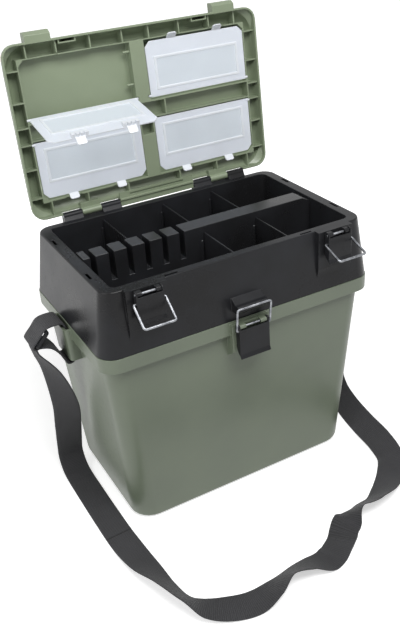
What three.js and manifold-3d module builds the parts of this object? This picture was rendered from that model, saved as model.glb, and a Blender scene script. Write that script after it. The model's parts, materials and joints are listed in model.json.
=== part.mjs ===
// Fishing seat box: a tapered bin, a lift-off tray section on a rear hinge, and a ribbed seat lid.
// Millimetres, +X to the right, -Y to the front, +Z up, origin on the floor under the bin's centre.

import * as THREE from 'three';
import { mergeVertices } from 'three/addons/utils/BufferGeometryUtils.js';
import Module from 'manifold-3d';

const wasm = await Module();
wasm.setup();

// Driving dimensions of the whole box
const binBottomHalfWidth = 164;
const binBottomHalfDepth = 100.5;
const binTopHalfWidth = 183.4;
const binTopHalfDepth = 109.4;
const binHeight = 266.5;
const binWall = 3;
const binFloor = 3.5;
const binCornerRadius = 28;
const binFootRound = 7;
const bandOverhang = 6.6;
const bandHalfWidth = binTopHalfWidth + bandOverhang;
const bandFrontOverhang = 7;
const bandHalfDepth = binTopHalfDepth + bandFrontOverhang;
const bandHeight = 18.7;
const bandWall = 2.6;
const bandCornerRadius = 22;
const trayHeight = 80.8;
const trayDraftX = 12.9;
const trayTopHalfWidth = bandHalfWidth - trayDraftX;
const trayDraftY = 7.2;
const trayTopHalfDepth = bandHalfDepth - trayDraftY;
const trayInset = 0.6;
const trayWall = 2.6;
const trayTopRadius = 18;
const lidOpenAngle = 96.3;
const clearance = 0.3;
const overrun = 2;

// Small moulded values
const tubRimX = 15.1;
const tubRimY = 11.2;
const tubHalfWidth = trayTopHalfWidth - tubRimX;
const tubHalfDepth = trayTopHalfDepth - tubRimY;
const tubRadius = 7;
const tubDraft = 1.6;
const tubWall = 2.4;
const tubFloorLift = 8.5;
const ridgeHeight = 3;
const ridgeGap = 0.8;
const frontSlotShare = 0.518;
const sideSlotShare = 0.506;
const rimSlotLength = 16;
const rimSlotWidth = 3;
const frontSlotInset = 4;
const sideSlotInset = 5.5;
const frontSlotX = trayTopHalfWidth * frontSlotShare;
const sideSlotY = trayTopHalfDepth * sideSlotShare;

// Rod rack and dividers
const rackFrontY = -17;
const rackRearY = 7;
const rackRise = 2.2;
const rackWall = 2.4;
const rodSlotWidth = 7;
const rodSlotDepth = 36.5;
const rodSlotInset = 12.2;
const firstRodSlotX = rodSlotInset - tubHalfWidth;
const rodSlotPitch = 23.7;
const rodSlotCount = 6;
const rackRampLength = 12;
const rackRampDrop = 6;
const dividerThickness = 2;
const dividerDrop = 6.3;
const beadRadius = 1.9;
const beadDrop = 10;
const rearDividerShares = [-0.543, 0, 0.469];
const rearDividerX = rearDividerShares.map((share) => share * tubHalfWidth);
const frontDividerShares = [0, 0.475];
const frontDividerX = frontDividerShares.map((share) => share * tubHalfWidth);

// Lid
const lidSideInset = 0.4;
const lidFrontInset = 4.1;
const lidRearReach = 2.3;
const lidRearY = trayTopHalfDepth + lidRearReach;
const lidHalfWidth = trayTopHalfWidth - lidSideInset;
const lidDepth = trayTopHalfDepth + lidRearY - lidFrontInset;
const lidRadius = 17;
const lidThickness = 21.5;
const lidEdge = 5;
const lidRound = 17;
const lidCrown = 2.4;
const lidWall = 2.6;
const lidRecess = 4;
const lidPocketFloor = 17.5;
const lidInnerWall = 1.8;
const lidChannelX = 17.7;
const lidChannelFront = 18.6;
const lidInnerHalfWidth = lidHalfWidth - lidChannelX;
const lidInnerRear = 20.5;
const lidInnerFront = lidDepth - lidChannelFront;
const lidRibThickness = 1.8;
const pocketBarX = 10;
const pocketWallRear = 2.5;
const pocketWallFront = 1.4;
const barShare = 0.50785;
const barWidth = 22.8;
const pocketRearEdge = lidInnerRear + pocketWallRear;
const pocketFrontEdge = lidInnerFront - pocketWallFront;
const barRearFace = lidDepth * barShare - barWidth / 2;
const barFrontFace = barRearFace + barWidth;
const pocketChamfer = 7;
const pegLength = 9;
const pegDepth = 9;
const rearStripReach = 8;
const hingeReach = 4.8;
const hingeY = trayTopHalfDepth + hingeReach;
const hingeRise = 5;
const knuckleRadius = 4.7;
const hingePinDiameter = 4;
const hingeInset = 40.1;
const hingeSpan = 81;
const hingeBlockWidth = 26;
const hingeBlockOuterX = trayTopHalfWidth - hingeInset;
const hingeBlockInnerX = hingeBlockOuterX - hingeSpan;
const knuckleOuterX = hingeBlockOuterX - hingeBlockWidth;
const knuckleInnerX = hingeBlockInnerX + hingeBlockWidth + 1;
const hingeNotchDepth = 7.5;
const hingeNotchHeight = 10.4;
const lugWidth = 33;
const lugReach = 11;
const lugTop = 13.2;

// Pocket covers
const coverSideGap = 0.8;
const coverInnerX = pocketBarX + coverSideGap;
const coverOuterX = lidInnerHalfWidth - lidInnerWall - coverSideGap;
const coverThickness = 1.8;
const coverSink = 4.2;
const coverFrame = 1.3;
const coverFrameWidth = 3;
const upperHingeGap = 2.6;
const lowerHingeGap = 1.6;
const coverEdgeGap = 2.6;
const upperCoverHinge = barFrontFace + upperHingeGap;
const upperCoverEdge = pocketFrontEdge - coverEdgeGap;
const lowerCoverHinge = barRearFace - lowerHingeGap;
const lowerCoverEdge = pocketRearEdge + coverEdgeGap;
const coverPinInset = 2;
const coverPinDiameter = 3.2;
const coverPinLength = 3;
const coverTabReach = 9;
const coverTabWidth = 12.6;
const coverTabTilt = 40;
const coverHookWidth = 22;
const coverHookHeight = 5;
const coverHookDepth = 7;
const coverHookGroove = 1.6;
const coverTabShares = [0.28, 0.662];
const coverTabX = coverTabShares.map((share) => share * lidHalfWidth);
const openCoverAngle = 107;

// Latches
const wire = 3;
const latchInset = 48.6;
const latchX = trayTopHalfWidth - latchInset;
const bossHalfWidth = 25.3;
const bossProud = 7.3;
const bossFaceY = trayTopHalfDepth + bossProud;
const bossHeight = 50;
const bossFoot = 66;
const leverHalfWidth = 17;
const leverWall = 2;
const leverLength = 36;
const latchPinDiameter = 3;
const earRadius = 4.3;
const lugRadius = 3.2;
const latchPinDrop = 3.8;
const latchPinProud = 4.8;
const bailPivotDrop = 11;
const bailPivotProud = 5.5;
const bailLength = 31;
const bailHalfWidth = 19.6;
const bailCorner = 3;
const leftBailAngle = -38.5;
const rightBailAngle = -20.4;
const centreLeverHalfWidth = 21.2;
const centreBailHalfWidth = 23.3;
const centreLeverLength = 42;
const centrePadHalfWidth = 26;
const centrePadProud = 5.6;
const centrePadHeight = 50;
const centrePinDrop = 4.5;
const centrePivotDrop = 3.7;
const centrePivotProud = 2;
const centreBailAngle = 83.6;
const catchHalfWidth = 21;
const catchProud = 13;
const catchFaceY = bandHalfDepth + catchProud;
const catchRise = 12.4;
const catchHeight = 11.7;

// Tray hinge at the rear
const trayHingeReach = 6.1;
const trayHingeY = bandHalfDepth + trayHingeReach;
const trayBarrelRadius = 4.5;
const trayHingeSpan = 54;
const trayHingeOuterX = hingeBlockOuterX;
const trayHingeInnerX = trayHingeOuterX - trayHingeSpan;
const trayKnuckleInset = 14;
const trayHingeGap = 0.5;

// Strap and its brackets
const bracketHalfWidth = 25;
const bracketY = 11;
const bracketTop = 262;
const bracketHeight = 45;
const bracketProud = 15;
const bracketWall = 3.4;
const bracketRound = 6;
const strapWidth = 36;
const strapThickness = 2;
const sliderHalfWidth = 21;
const sliderHeight = 25;
const sliderBar = 4;
const sliderThickness = 4;
const sliderReach = 26.1;
const sliderZ = 256;
const sliderTilt = 43.3;

const green = new THREE.MeshStandardMaterial({ color: 0x7f8b73, roughness: 0.55, metalness: 0 });
const black = new THREE.MeshStandardMaterial({ color: 0x222224, roughness: 0.35, metalness: 0 });
const milky = new THREE.MeshStandardMaterial({ color: 0xc9cfd4, roughness: 0.3, metalness: 0 });
const steel = new THREE.MeshStandardMaterial({ color: 0xc4c6c8, roughness: 0.25, metalness: 1 });
const webbing = new THREE.MeshStandardMaterial({ color: 0x323236, roughness: 0.9, metalness: 0 });

const rad = THREE.MathUtils.degToRad;

// Solids and booleans

function solid(geometry) {
  const bare = geometry.clone();
  bare.deleteAttribute('normal');
  bare.deleteAttribute('uv');
  const merged = mergeVertices(bare, clearance / 1000);
  return new wasm.Manifold(new wasm.Mesh({
    numProp: 3,
    vertProperties: new Float32Array(merged.attributes.position.array),
    triVerts: new Uint32Array(merged.index.array),
  }));
}

function geometryOf(body) {
  const mesh = body.getMesh();
  const geometry = new THREE.BufferGeometry();
  geometry.setAttribute('position', new THREE.BufferAttribute(mesh.vertProperties, 3));
  geometry.setIndex(new THREE.BufferAttribute(mesh.triVerts, 1));
  return geometry;
}

function box(x0, x1, y0, y1, z0, z1) {
  const geometry = new THREE.BoxGeometry(x1 - x0, y1 - y0, z1 - z0);
  geometry.translate((x0 + x1) / 2, (y0 + y1) / 2, (z0 + z1) / 2);
  return solid(geometry);
}

// A cylinder along X between two places
function rod(x0, x1, y, z, radius, sides = 12) {
  const geometry = new THREE.CylinderGeometry(radius, radius, x1 - x0, sides);
  geometry.rotateZ(Math.PI / 2);
  geometry.translate((x0 + x1) / 2, y, z);
  return solid(geometry);
}

// A side profile in the YZ plane, drawn as a shape of (y, z), pushed along X
function profile(shape, x0, x1, curveSegments = 5) {
  const geometry = new THREE.ExtrudeGeometry(shape, {
    depth: x1 - x0, bevelEnabled: false, curveSegments, steps: 1,
  });
  geometry.applyMatrix4(new THREE.Matrix4().makeBasis(
    new THREE.Vector3(0, 1, 0), new THREE.Vector3(0, 0, 1), new THREE.Vector3(1, 0, 0)));
  geometry.translate(x0, 0, 0);
  return solid(geometry);
}

// Two places along an axis, lower first
function ordered(a, b) {
  return a < b ? [a, b] : [b, a];
}

function polygon(points) {
  return new THREE.Shape(points.map(([u, v]) => new THREE.Vector2(u, v)));
}

// One level of a loft: a rounded rectangle about (0, y) at height z
function level(z, halfWidth, halfDepth, radius, y = 0) {
  return { z, halfWidth, halfDepth, radius, y };
}

function ring({ z, halfWidth, halfDepth, radius, y }, cornerSteps) {
  const points = [];
  const r = Math.min(radius, halfWidth, halfDepth);
  for (let corner = 0; corner < 4; corner += 1) {
    const signX = corner === 0 || corner === 3 ? 1 : -1;
    const signY = corner < 2 ? 1 : -1;
    for (let step = 0; step <= cornerSteps; step += 1) {
      const angle = (corner + step / cornerSteps) * Math.PI / 2;
      points.push([
        signX * (halfWidth - r) + r * Math.cos(angle),
        y + signY * (halfDepth - r) + r * Math.sin(angle),
        z,
      ]);
    }
  }
  return points;
}

// A closed body through rounded rectangles of equal point count, lowest first
function loft(levels, cornerSteps = 5) {
  const rings = levels.map((each) => ring(each, cornerSteps));
  const count = rings[0].length;
  const index = [];
  for (let k = 0; k + 1 < rings.length; k += 1) {
    for (let i = 0; i < count; i += 1) {
      const a = k * count + i;
      const b = k * count + (i + 1) % count;
      index.push(a, b, b + count, a, b + count, a + count);
    }
  }
  const top = (rings.length - 1) * count;
  for (let i = 1; i + 1 < count; i += 1) {
    index.push(0, i + 1, i, top, top + i, top + i + 1);
  }
  const geometry = new THREE.BufferGeometry();
  geometry.setAttribute('position', new THREE.Float32BufferAttribute(rings.flat(2), 3));
  geometry.setIndex(index);
  return solid(geometry);
}

function union(bodies) {
  return bodies.reduce((all, each) => all.add(each));
}

// The outline of an ear or lug in the YZ plane: round about a pin, straight back to a face
function lugShape(pinY, pinZ, radius, faceY, drop) {
  const shape = new THREE.Shape();
  shape.moveTo(faceY, pinZ + radius);
  shape.lineTo(pinY, pinZ + radius);
  shape.absarc(pinY, pinZ, radius, Math.PI / 2, 3 * Math.PI / 2, false);
  shape.lineTo(faceY, pinZ - radius - drop);
  return shape;
}

const object = new THREE.Group();

function piece(name, body, material, parent = object) {
  const mesh = new THREE.Mesh(geometryOf(body), material);
  mesh.name = name;
  parent.add(mesh);
  return mesh;
}

// Heights that several pieces share
const bandTop = binHeight;
const bandBottom = binHeight - bandHeight;
const trayTop = binHeight + trayHeight;
const hingeZ = trayTop + hingeRise;
const tubFloorZ = binHeight + tubFloorLift;

// Half sizes of the bin's outer wall at a height
function binAt(z) {
  const share = z / binHeight;
  return [
    THREE.MathUtils.lerp(binBottomHalfWidth, binTopHalfWidth, share),
    THREE.MathUtils.lerp(binBottomHalfDepth, binTopHalfDepth, share),
  ];
}

function binLevel(z, inset, radius) {
  const [halfWidth, halfDepth] = binAt(z);
  return level(z, halfWidth - inset, halfDepth - inset, radius);
}

// Half sizes of the tray's outer skirt at a height
function trayAt(z) {
  const share = (z - bandTop) / trayHeight;
  return [
    THREE.MathUtils.lerp(bandHalfWidth - trayInset, trayTopHalfWidth, share),
    THREE.MathUtils.lerp(bandHalfDepth - trayInset, trayTopHalfDepth, share),
  ];
}

// A knuckle of the tray's rear hinge: barrel and web to the wall, on one side of the parting plane
function trayKnuckle(x0, x1, wallY, side) {
  const reach = trayBarrelRadius + binFootRound;
  const web = polygon([
    [wallY, bandTop + side * clearance],
    [trayHingeY, bandTop + side * clearance],
    [trayHingeY + trayBarrelRadius, bandTop + side * clearance],
    [trayHingeY + trayBarrelRadius, bandTop + side * trayBarrelRadius / 2],
    [wallY, bandTop + side * reach],
  ]);
  const barrel = rod(x0, x1, trayHingeY, bandTop, trayBarrelRadius, 16);
  return profile(web, x0, x1).add(barrel);
}

const trayKnuckleOuterX = trayHingeOuterX - trayKnuckleInset;
const trayKnuckleInnerX = trayHingeInnerX + trayKnuckleInset;

// Lower bin

function strapBracket(side) {
  const topWall = binAt(bracketTop)[0];
  const outer = topWall + bracketProud;
  const low = bracketTop - bracketHeight;
  const lowOuter = binAt(low)[0] + bracketProud;
  const section = new THREE.Shape();
  section.moveTo(-bracketHalfWidth, -binWall / 2);
  section.lineTo(-bracketHalfWidth, bracketProud - bracketRound);
  section.quadraticCurveTo(
    -bracketHalfWidth, bracketProud, -bracketHalfWidth + bracketRound, bracketProud);
  section.lineTo(bracketHalfWidth - bracketRound, bracketProud);
  section.quadraticCurveTo(
    bracketHalfWidth, bracketProud, bracketHalfWidth, bracketProud - bracketRound);
  section.lineTo(bracketHalfWidth, -binWall / 2);
  const slotHalf = bracketHalfWidth - bracketWall;
  section.lineTo(slotHalf, -binWall / 2);
  section.lineTo(slotHalf, bracketProud - bracketRound);
  section.quadraticCurveTo(
    slotHalf, bracketProud - bracketWall, slotHalf - bracketWall, bracketProud - bracketWall);
  section.lineTo(bracketWall - slotHalf, bracketProud - bracketWall);
  section.quadraticCurveTo(
    -slotHalf, bracketProud - bracketWall, -slotHalf, bracketProud - bracketRound);
  section.lineTo(-slotHalf, -binWall / 2);
  const geometry = new THREE.ExtrudeGeometry(section, {
    depth: bracketHeight, bevelEnabled: false, curveSegments: 4,
  });
  const lean = (outer - lowOuter) / bracketHeight;
  const place = new THREE.Matrix4().set(
    0, side, side * lean, side * (lowOuter - bracketProud),
    -side, 0, 0, bracketY,
    0, 0, 1, low,
    0, 0, 0, 1);
  geometry.applyMatrix4(place);
  return solid(geometry);
}

function lowerBin() {
  const edge = binFootRound;
  const outer = loft([
    binLevel(0, edge, binCornerRadius - edge / 2),
    binLevel(edge * 0.13, edge * 0.5, binCornerRadius),
    binLevel(edge * 0.5, edge * 0.13, binCornerRadius),
    binLevel(edge, 0, binCornerRadius),
    binLevel(bandTop, 0, bandCornerRadius),
  ], 6);
  const band = loft([
    level(bandBottom, bandHalfWidth, bandHalfDepth, bandCornerRadius),
    level(bandTop, bandHalfWidth, bandHalfDepth, bandCornerRadius),
  ], 6);
  const gutter = loft([
    level(bandBottom - overrun, bandHalfWidth - bandWall, bandHalfDepth - bandWall,
      bandCornerRadius - bandWall),
    level(bandTop - bandWall, bandHalfWidth - bandWall, bandHalfDepth - bandWall,
      bandCornerRadius - bandWall),
  ], 6);
  const [skirtX, skirtY] = trayAt(bandTop + ridgeHeight);
  const ridgeInset = trayWall + ridgeGap;
  const ridge = loft([
    level(bandTop - overrun, skirtX - ridgeInset, skirtY - ridgeInset, bandCornerRadius),
    level(bandTop + ridgeHeight, skirtX - ridgeInset, skirtY - ridgeInset, bandCornerRadius),
  ], 6);
  const inside = loft([
    binLevel(binFloor, binWall + edge * 0.6, binCornerRadius - binWall),
    binLevel(binFloor + edge * 0.6, binWall, binCornerRadius - binWall),
    binLevel(bandTop + ridgeHeight + overrun, binWall, bandCornerRadius - binWall),
  ], 6);
  const padTop = bandTop - overrun;
  const padFace = -(bandHalfDepth + centrePadProud);
  const padLow = padTop - centrePadHeight;
  const wallY = -binAt(padLow)[1] + binWall / 2;
  const pad = profile(polygon([
    [wallY, padLow],
    [padFace, padLow + centrePadProud * 2],
    [padFace, padTop],
    [wallY, padTop],
  ]), -centrePadHalfWidth, centrePadHalfWidth);
  const { pinY, pinZ } = centrePin;
  const earCut = (side) => {
    const a = side * (centreLeverHalfWidth + clearance * 2);
    const b = side * (centreLeverHalfWidth - leverWall - clearance * 2);
    return box(...ordered(a, b), pinY, pinY + earRadius + clearance * 3,
      pinZ - earRadius * 2, bandTop + overrun);
  };
  const lug = (side) => {
    const a = side * (centreLeverHalfWidth - leverWall - clearance);
    const b = side * (centreLeverHalfWidth - leverWall - clearance - earRadius * 2);
    return profile(lugShape(pinY, pinZ, lugRadius, padFace + overrun, earRadius),
      ...ordered(a, b));
  };
  const knuckles = [-1, 1].flatMap((side) => [
    [trayKnuckleOuterX + trayHingeGap, trayHingeOuterX],
    [trayHingeInnerX, trayKnuckleInnerX - trayHingeGap],
  ].map(([a, b]) => trayKnuckle(
    ...ordered(side * a, side * b), bandHalfDepth - bandWall / 2, -1)));
  const brackets = [-1, 1].map((side) => strapBracket(side));
  let body = union([outer.add(band.subtract(gutter)), pad]);
  body = body.add(outer);
  body = body.add(ridge).subtract(earCut(1)).subtract(earCut(-1));
  body = union([body, lug(1), lug(-1), ...knuckles, ...brackets]);
  body = body.subtract(inside);
  body = body.subtract(rod(-centrePadHalfWidth, centrePadHalfWidth, pinY, pinZ,
    latchPinDiameter / 2 + clearance));
  for (const side of [-1, 1]) {
    const a = side * (trayHingeOuterX + overrun);
    const b = side * (trayHingeInnerX - overrun);
    body = body.subtract(rod(...ordered(a, b), trayHingeY, bandTop,
      hingePinDiameter / 2 + clearance));
  }
  return body;
}

// Where the centre latch turns
const centrePin = {
  pinY: -(bandHalfDepth + centrePadProud + earRadius - clearance),
  pinZ: bandTop - centrePinDrop,
};

// Where an upper latch turns
const upperPin = {
  pinY: -(bossFaceY + latchPinProud),
  pinZ: trayTop - latchPinDrop,
};

// Upper tray

function dividerBeads(xs, faceA, faceB) {
  const low = tubFloorZ - overrun;
  const high = trayTop - dividerDrop - beadDrop;
  const offset = dividerThickness / 2 + clearance + beadRadius;
  return xs.flatMap((x) => [x - offset, x + offset]).flatMap((x) => [faceA, faceB].map((y) => {
    const bead = new THREE.LatheGeometry([
      new THREE.Vector2(0, low),
      new THREE.Vector2(beadRadius, low),
      new THREE.Vector2(beadRadius, high - beadRadius),
      new THREE.Vector2(beadRadius * Math.SQRT1_2, high - beadRadius * (1 - Math.SQRT1_2)),
      new THREE.Vector2(0, high),
    ], 8);
    bead.rotateX(Math.PI / 2);
    bead.translate(x, y, 0);
    return solid(bead);
  }));
}

function upperTray() {
  const [bottomX, bottomY] = trayAt(bandTop);
  const skirtInset = trayWall;
  const outer = loft([
    level(bandTop, bottomX, bottomY, bandCornerRadius),
    level(trayTop - trayWall / 2, trayTopHalfWidth, trayTopHalfDepth, trayTopRadius),
    level(trayTop, trayTopHalfWidth - trayWall / 2, trayTopHalfDepth - trayWall / 2,
      trayTopRadius - trayWall / 2),
  ], 6);
  const hollow = loft([
    level(bandTop - overrun, bottomX - skirtInset, bottomY - skirtInset,
      bandCornerRadius - trayWall),
    level(trayTop - trayWall, trayTopHalfWidth - skirtInset, trayTopHalfDepth - skirtInset,
      trayTopRadius - trayWall),
  ], 6);
  const tubOuter = loft([
    level(tubFloorZ - tubWall, tubHalfWidth - tubDraft + tubWall, tubHalfDepth - tubDraft + tubWall,
      tubRadius + tubWall),
    level(trayTop - trayWall / 2, tubHalfWidth + tubWall, tubHalfDepth + tubWall,
      tubRadius + tubWall),
  ], 3);
  const tubInner = loft([
    level(tubFloorZ, tubHalfWidth - tubDraft, tubHalfDepth - tubDraft, tubRadius),
    level(trayTop + overrun, tubHalfWidth, tubHalfDepth, tubRadius),
  ], 3);
  const bossLow = trayTop - bossFoot;
  const wallLow = -trayAt(bossLow)[1] + trayWall / 2;
  const wallTop = -trayTopHalfDepth + trayWall / 2;
  const bossShape = polygon([
    [wallLow, bossLow],
    [-bossFaceY, trayTop - bossHeight],
    [-bossFaceY, trayTop],
    [wallTop, trayTop],
  ]);
  const { pinY, pinZ } = upperPin;
  const bosses = [-1, 1].flatMap((side) => {
    const x = side * latchX;
    const inner = leverHalfWidth - leverWall - clearance;
    const width = earRadius * 1.4;
    const ear = lugShape(pinY, pinZ, lugRadius, -bossFaceY + overrun, lugRadius);
    return [
      profile(bossShape, x - bossHalfWidth, x + bossHalfWidth),
      profile(ear, x - inner, x - inner + width),
      profile(ear, x + inner - width, x + inner),
    ];
  });
  const catchLow = bandTop + catchRise;
  const catchWall = -trayAt(catchLow + catchHeight)[1] + trayWall / 2;
  const catchBlock = profile(polygon([
    [catchWall, catchLow],
    [-catchFaceY + lugRadius * 1.5, catchLow],
    [-catchFaceY, catchLow + lugRadius * 1.5],
    [-catchFaceY, catchLow + catchHeight - lugRadius / 2],
    [-catchFaceY + lugRadius / 2, catchLow + catchHeight],
    [-catchFaceY + lugRadius * 2, catchLow + catchHeight],
    [catchWall, catchLow + catchHeight + lugRadius * 2],
  ]), -catchHalfWidth, catchHalfWidth);
  const blockShape = new THREE.Shape();
  const rearWall = trayTopHalfDepth - trayWall / 2;
  blockShape.moveTo(rearWall, trayTop - knuckleRadius * 3);
  blockShape.lineTo(hingeY + knuckleRadius, trayTop - knuckleRadius);
  blockShape.lineTo(hingeY + knuckleRadius, hingeZ);
  blockShape.absarc(hingeY, hingeZ, knuckleRadius, 0, Math.PI, false);
  blockShape.lineTo(hingeY - knuckleRadius * 1.9, trayTop - trayWall / 2);
  const blocks = [-1, 1].flatMap((side) => [
    [hingeBlockOuterX, knuckleOuterX], [knuckleInnerX, hingeBlockInnerX],
  ].map(([a, b]) => profile(blockShape, ...ordered(side * a, side * b), 8)));
  const saddleTop = trayTop - clearance * 2;
  const saddleShape = polygon([
    [rearWall, trayTop - knuckleRadius * 3],
    [hingeY + knuckleRadius / 2, trayTop - knuckleRadius * 1.7],
    [hingeY + knuckleRadius / 2, saddleTop],
    [rearWall, saddleTop],
  ]);
  const saddles = [-1, 1].map((side) => profile(saddleShape,
    ...ordered(side * (knuckleOuterX + lidWall), side * (knuckleInnerX - lidWall))));
  const knuckles = [-1, 1].map((side) => {
    const a = side * trayKnuckleOuterX;
    const b = side * trayKnuckleInnerX;
    return trayKnuckle(...ordered(a, b), bottomY - trayWall / 2, 1);
  });
  const slots = [-1, 1].flatMap((side) => {
    const frontY = -trayTopHalfDepth + frontSlotInset;
    const half = rimSlotLength / 2;
    const low = trayTop - trayWall - overrun;
    const high = trayTop + overrun;
    const sideX = side * (trayTopHalfWidth - sideSlotInset);
    const a = side * frontSlotX;
    return [
      box(a - half, a + half, frontY - rimSlotWidth / 2, frontY + rimSlotWidth / 2, low, high),
      ...[-1, 1].map((end) => box(sideX - rimSlotWidth / 2, sideX + rimSlotWidth / 2,
        end * sideSlotY - half, end * sideSlotY + half, low, high)),
    ];
  });
  const tubRearFoot = tubHalfDepth - tubDraft / 2;
  const beads = [
    ...dividerBeads(rearDividerX, tubRearFoot, tubRearFoot),
    ...dividerBeads(frontDividerX, -tubRearFoot, -tubRearFoot),
  ];
  let body = outer.subtract(hollow.subtract(tubOuter));
  body = union([body, ...bosses, catchBlock, ...blocks, ...saddles, ...knuckles]);
  body = body.subtract(tubInner);
  body = union([body, ...beads]);
  for (const slot of slots) body = body.subtract(slot);
  for (const side of [-1, 1]) {
    const a = side * (hingeBlockOuterX + overrun);
    const b = side * (hingeBlockInnerX - overrun);
    const c = side * latchX;
    body = body.subtract(rod(...ordered(a, b), hingeY, hingeZ,
      hingePinDiameter / 2 + clearance));
    body = body.subtract(rod(...ordered(a, b), trayHingeY, bandTop,
      hingePinDiameter / 2 + clearance));
    body = body.subtract(rod(c - leverHalfWidth, c + leverHalfWidth, pinY, pinZ,
      latchPinDiameter / 2 + clearance));
  }
  return body;
}

// Rod rack: a hollow wall across the tub with slots for rods in its left half

function rodRack() {
  const low = tubFloorZ + clearance;
  const high = trayTop + rackRise;
  const halfLow = tubHalfWidth - tubDraft - clearance;
  const halfHigh = tubHalfWidth - clearance;
  const side = polygon([
    [-halfLow, low], [halfLow, low], [halfHigh, high - rackRampDrop],
    [halfHigh - rackRampLength, high], [-halfHigh, high],
  ]);
  const wall = new THREE.ExtrudeGeometry(side, { depth: rackRearY - rackFrontY, bevelEnabled: false });
  wall.rotateX(Math.PI / 2);
  wall.translate(0, rackRearY, 0);
  let body = solid(wall);
  const slotFloor = high - rodSlotDepth;
  const slots = Array.from({ length: rodSlotCount }, (_, i) => firstRodSlotX + i * rodSlotPitch);
  const innerFront = rackFrontY + rackWall;
  const innerRear = rackRearY - rackWall;
  const roof = high - rackWall;
  const under = slotFloor - rackWall;
  body = body.subtract(box(-halfLow + rackWall, halfLow - rackWall, innerFront, innerRear,
    low - overrun, under));
  for (const x of slots) {
    body = body.subtract(box(x - rodSlotWidth / 2, x + rodSlotWidth / 2, rackFrontY - overrun,
      rackRearY + overrun, slotFloor, high + overrun));
  }
  for (let i = 0; i + 1 < slots.length; i += 1) {
    body = body.subtract(box(slots[i] + rodSlotWidth / 2 + rackWall,
      slots[i + 1] - rodSlotWidth / 2 - rackWall, innerFront, innerRear, under - overrun, roof));
  }
  body = body.subtract(box(slots[slots.length - 1] + rodSlotWidth / 2 + rackWall,
    halfHigh - rackRampLength, innerFront, innerRear, under - overrun, roof));
  const beads = [
    ...dividerBeads(rearDividerX, rackRearY, rackRearY),
    ...dividerBeads(frontDividerX, rackFrontY, rackFrontY),
  ];
  const shell = box(-halfLow, halfLow, rackFrontY - beadRadius * 2, rackRearY + beadRadius * 2,
    low, high);
  return union([body, ...beads.map((bead) => bead.intersect(shell))
    .map((bead) => bead.subtract(box(-halfLow, halfLow, innerFront, innerRear, low - overrun, roof)))]);
}

function divider(x, rackFace, sign) {
  const low = tubFloorZ + clearance;
  const high = trayTop - dividerDrop;
  const nearFace = rackFace + sign * clearance;
  const farLow = sign * (tubHalfDepth - tubDraft - clearance);
  const farHigh = sign * (tubHalfDepth - tubDraft * dividerDrop / trayHeight - clearance);
  const outline = [[nearFace, low], [farLow, low], [farHigh, high], [nearFace, high]];
  return profile(polygon(outline), x - dividerThickness / 2, x + dividerThickness / 2);
}

// Lid, drawn closed about the hinge axis: v runs from the rear edge to the front, w up from the rim

const lidY = (s) => lidRearY - s - hingeY;
const lidZ = (w) => trayTop + clearance + w - hingeZ;
const lidMiddle = lidY(lidDepth / 2);

function lidLevel(w, inset, radius = lidRadius) {
  return level(lidZ(w), lidHalfWidth - inset, lidDepth / 2 - inset, Math.max(radius - inset, lidWall),
    lidMiddle);
}

function lidBox(x0, x1, s0, s1, w0, w1) {
  return box(x0, x1, lidY(s1), lidY(s0), lidZ(w0), lidZ(w1));
}

// Rounding of the lid's shoulder: shares of the rounding's height and inset
const shoulderShares = [[0.3, 0.05], [0.58, 0.18], [0.8, 0.4], [0.94, 0.7], [1, 1]];

function lidForm(offset) {
  const levels = [lidLevel(offset > 0 ? -overrun : 0, offset), lidLevel(lidEdge, offset)];
  const height = lidThickness - lidEdge - offset;
  for (const [rise, inset] of shoulderShares) {
    levels.push(lidLevel(lidEdge + height * rise, offset + (lidRound - offset) * inset, lidRound * 2));
  }
  if (offset === 0) {
    levels.push(lidLevel(lidThickness + lidCrown * 0.6, lidRound * 2.6, lidRound * 4));
    levels.push(lidLevel(lidThickness + lidCrown, lidRound * 4.6, lidRound * 6));
  }
  return loft(levels, 5);
}

// A pocket opening with two chamfered corners towards its tab edge
function pocket(side, hingeS, edgeS, w0, w1) {
  const direction = Math.sign(edgeS - hingeS);
  const inner = pocketBarX;
  const outer = lidInnerHalfWidth - lidInnerWall;
  const outline = polygon([
    [side * inner, lidY(hingeS)],
    [side * outer, lidY(hingeS)],
    [side * outer, lidY(edgeS - direction * pocketChamfer)],
    [side * (outer - pocketChamfer), lidY(edgeS)],
    [side * inner, lidY(edgeS)],
  ]);
  const geometry = new THREE.ExtrudeGeometry(outline, { depth: w1 - w0, bevelEnabled: false });
  geometry.translate(0, 0, lidZ(w0));
  return solid(geometry);
}

const upperAxisS = upperCoverHinge + coverPinInset;
const lowerAxisS = lowerCoverHinge - coverPinInset;
const coverAxisW = coverSink + coverThickness / 2;

// Places of the thin ribs across the trough and the perimeter channel, and of the pegs in one pocket
const troughRibShare = 0.167;
const troughRibX = lidHalfWidth * troughRibShare;
const frontRibShares = [0.105, 0.351, 0.603, 0.823];
const rearRibShares = [0.221, 0.551, 0.836];
const sideRibShares = [0.129, 0.3, 0.443, 0.54, 0.681, 0.856];
const pegShares = [0.666, 0.855];
const frontRibX = frontRibShares.map((share) => share * lidHalfWidth);
const rearRibX = rearRibShares.map((share) => share * lidHalfWidth);
const sideRibS = sideRibShares.map((share) => share * lidDepth);

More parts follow.
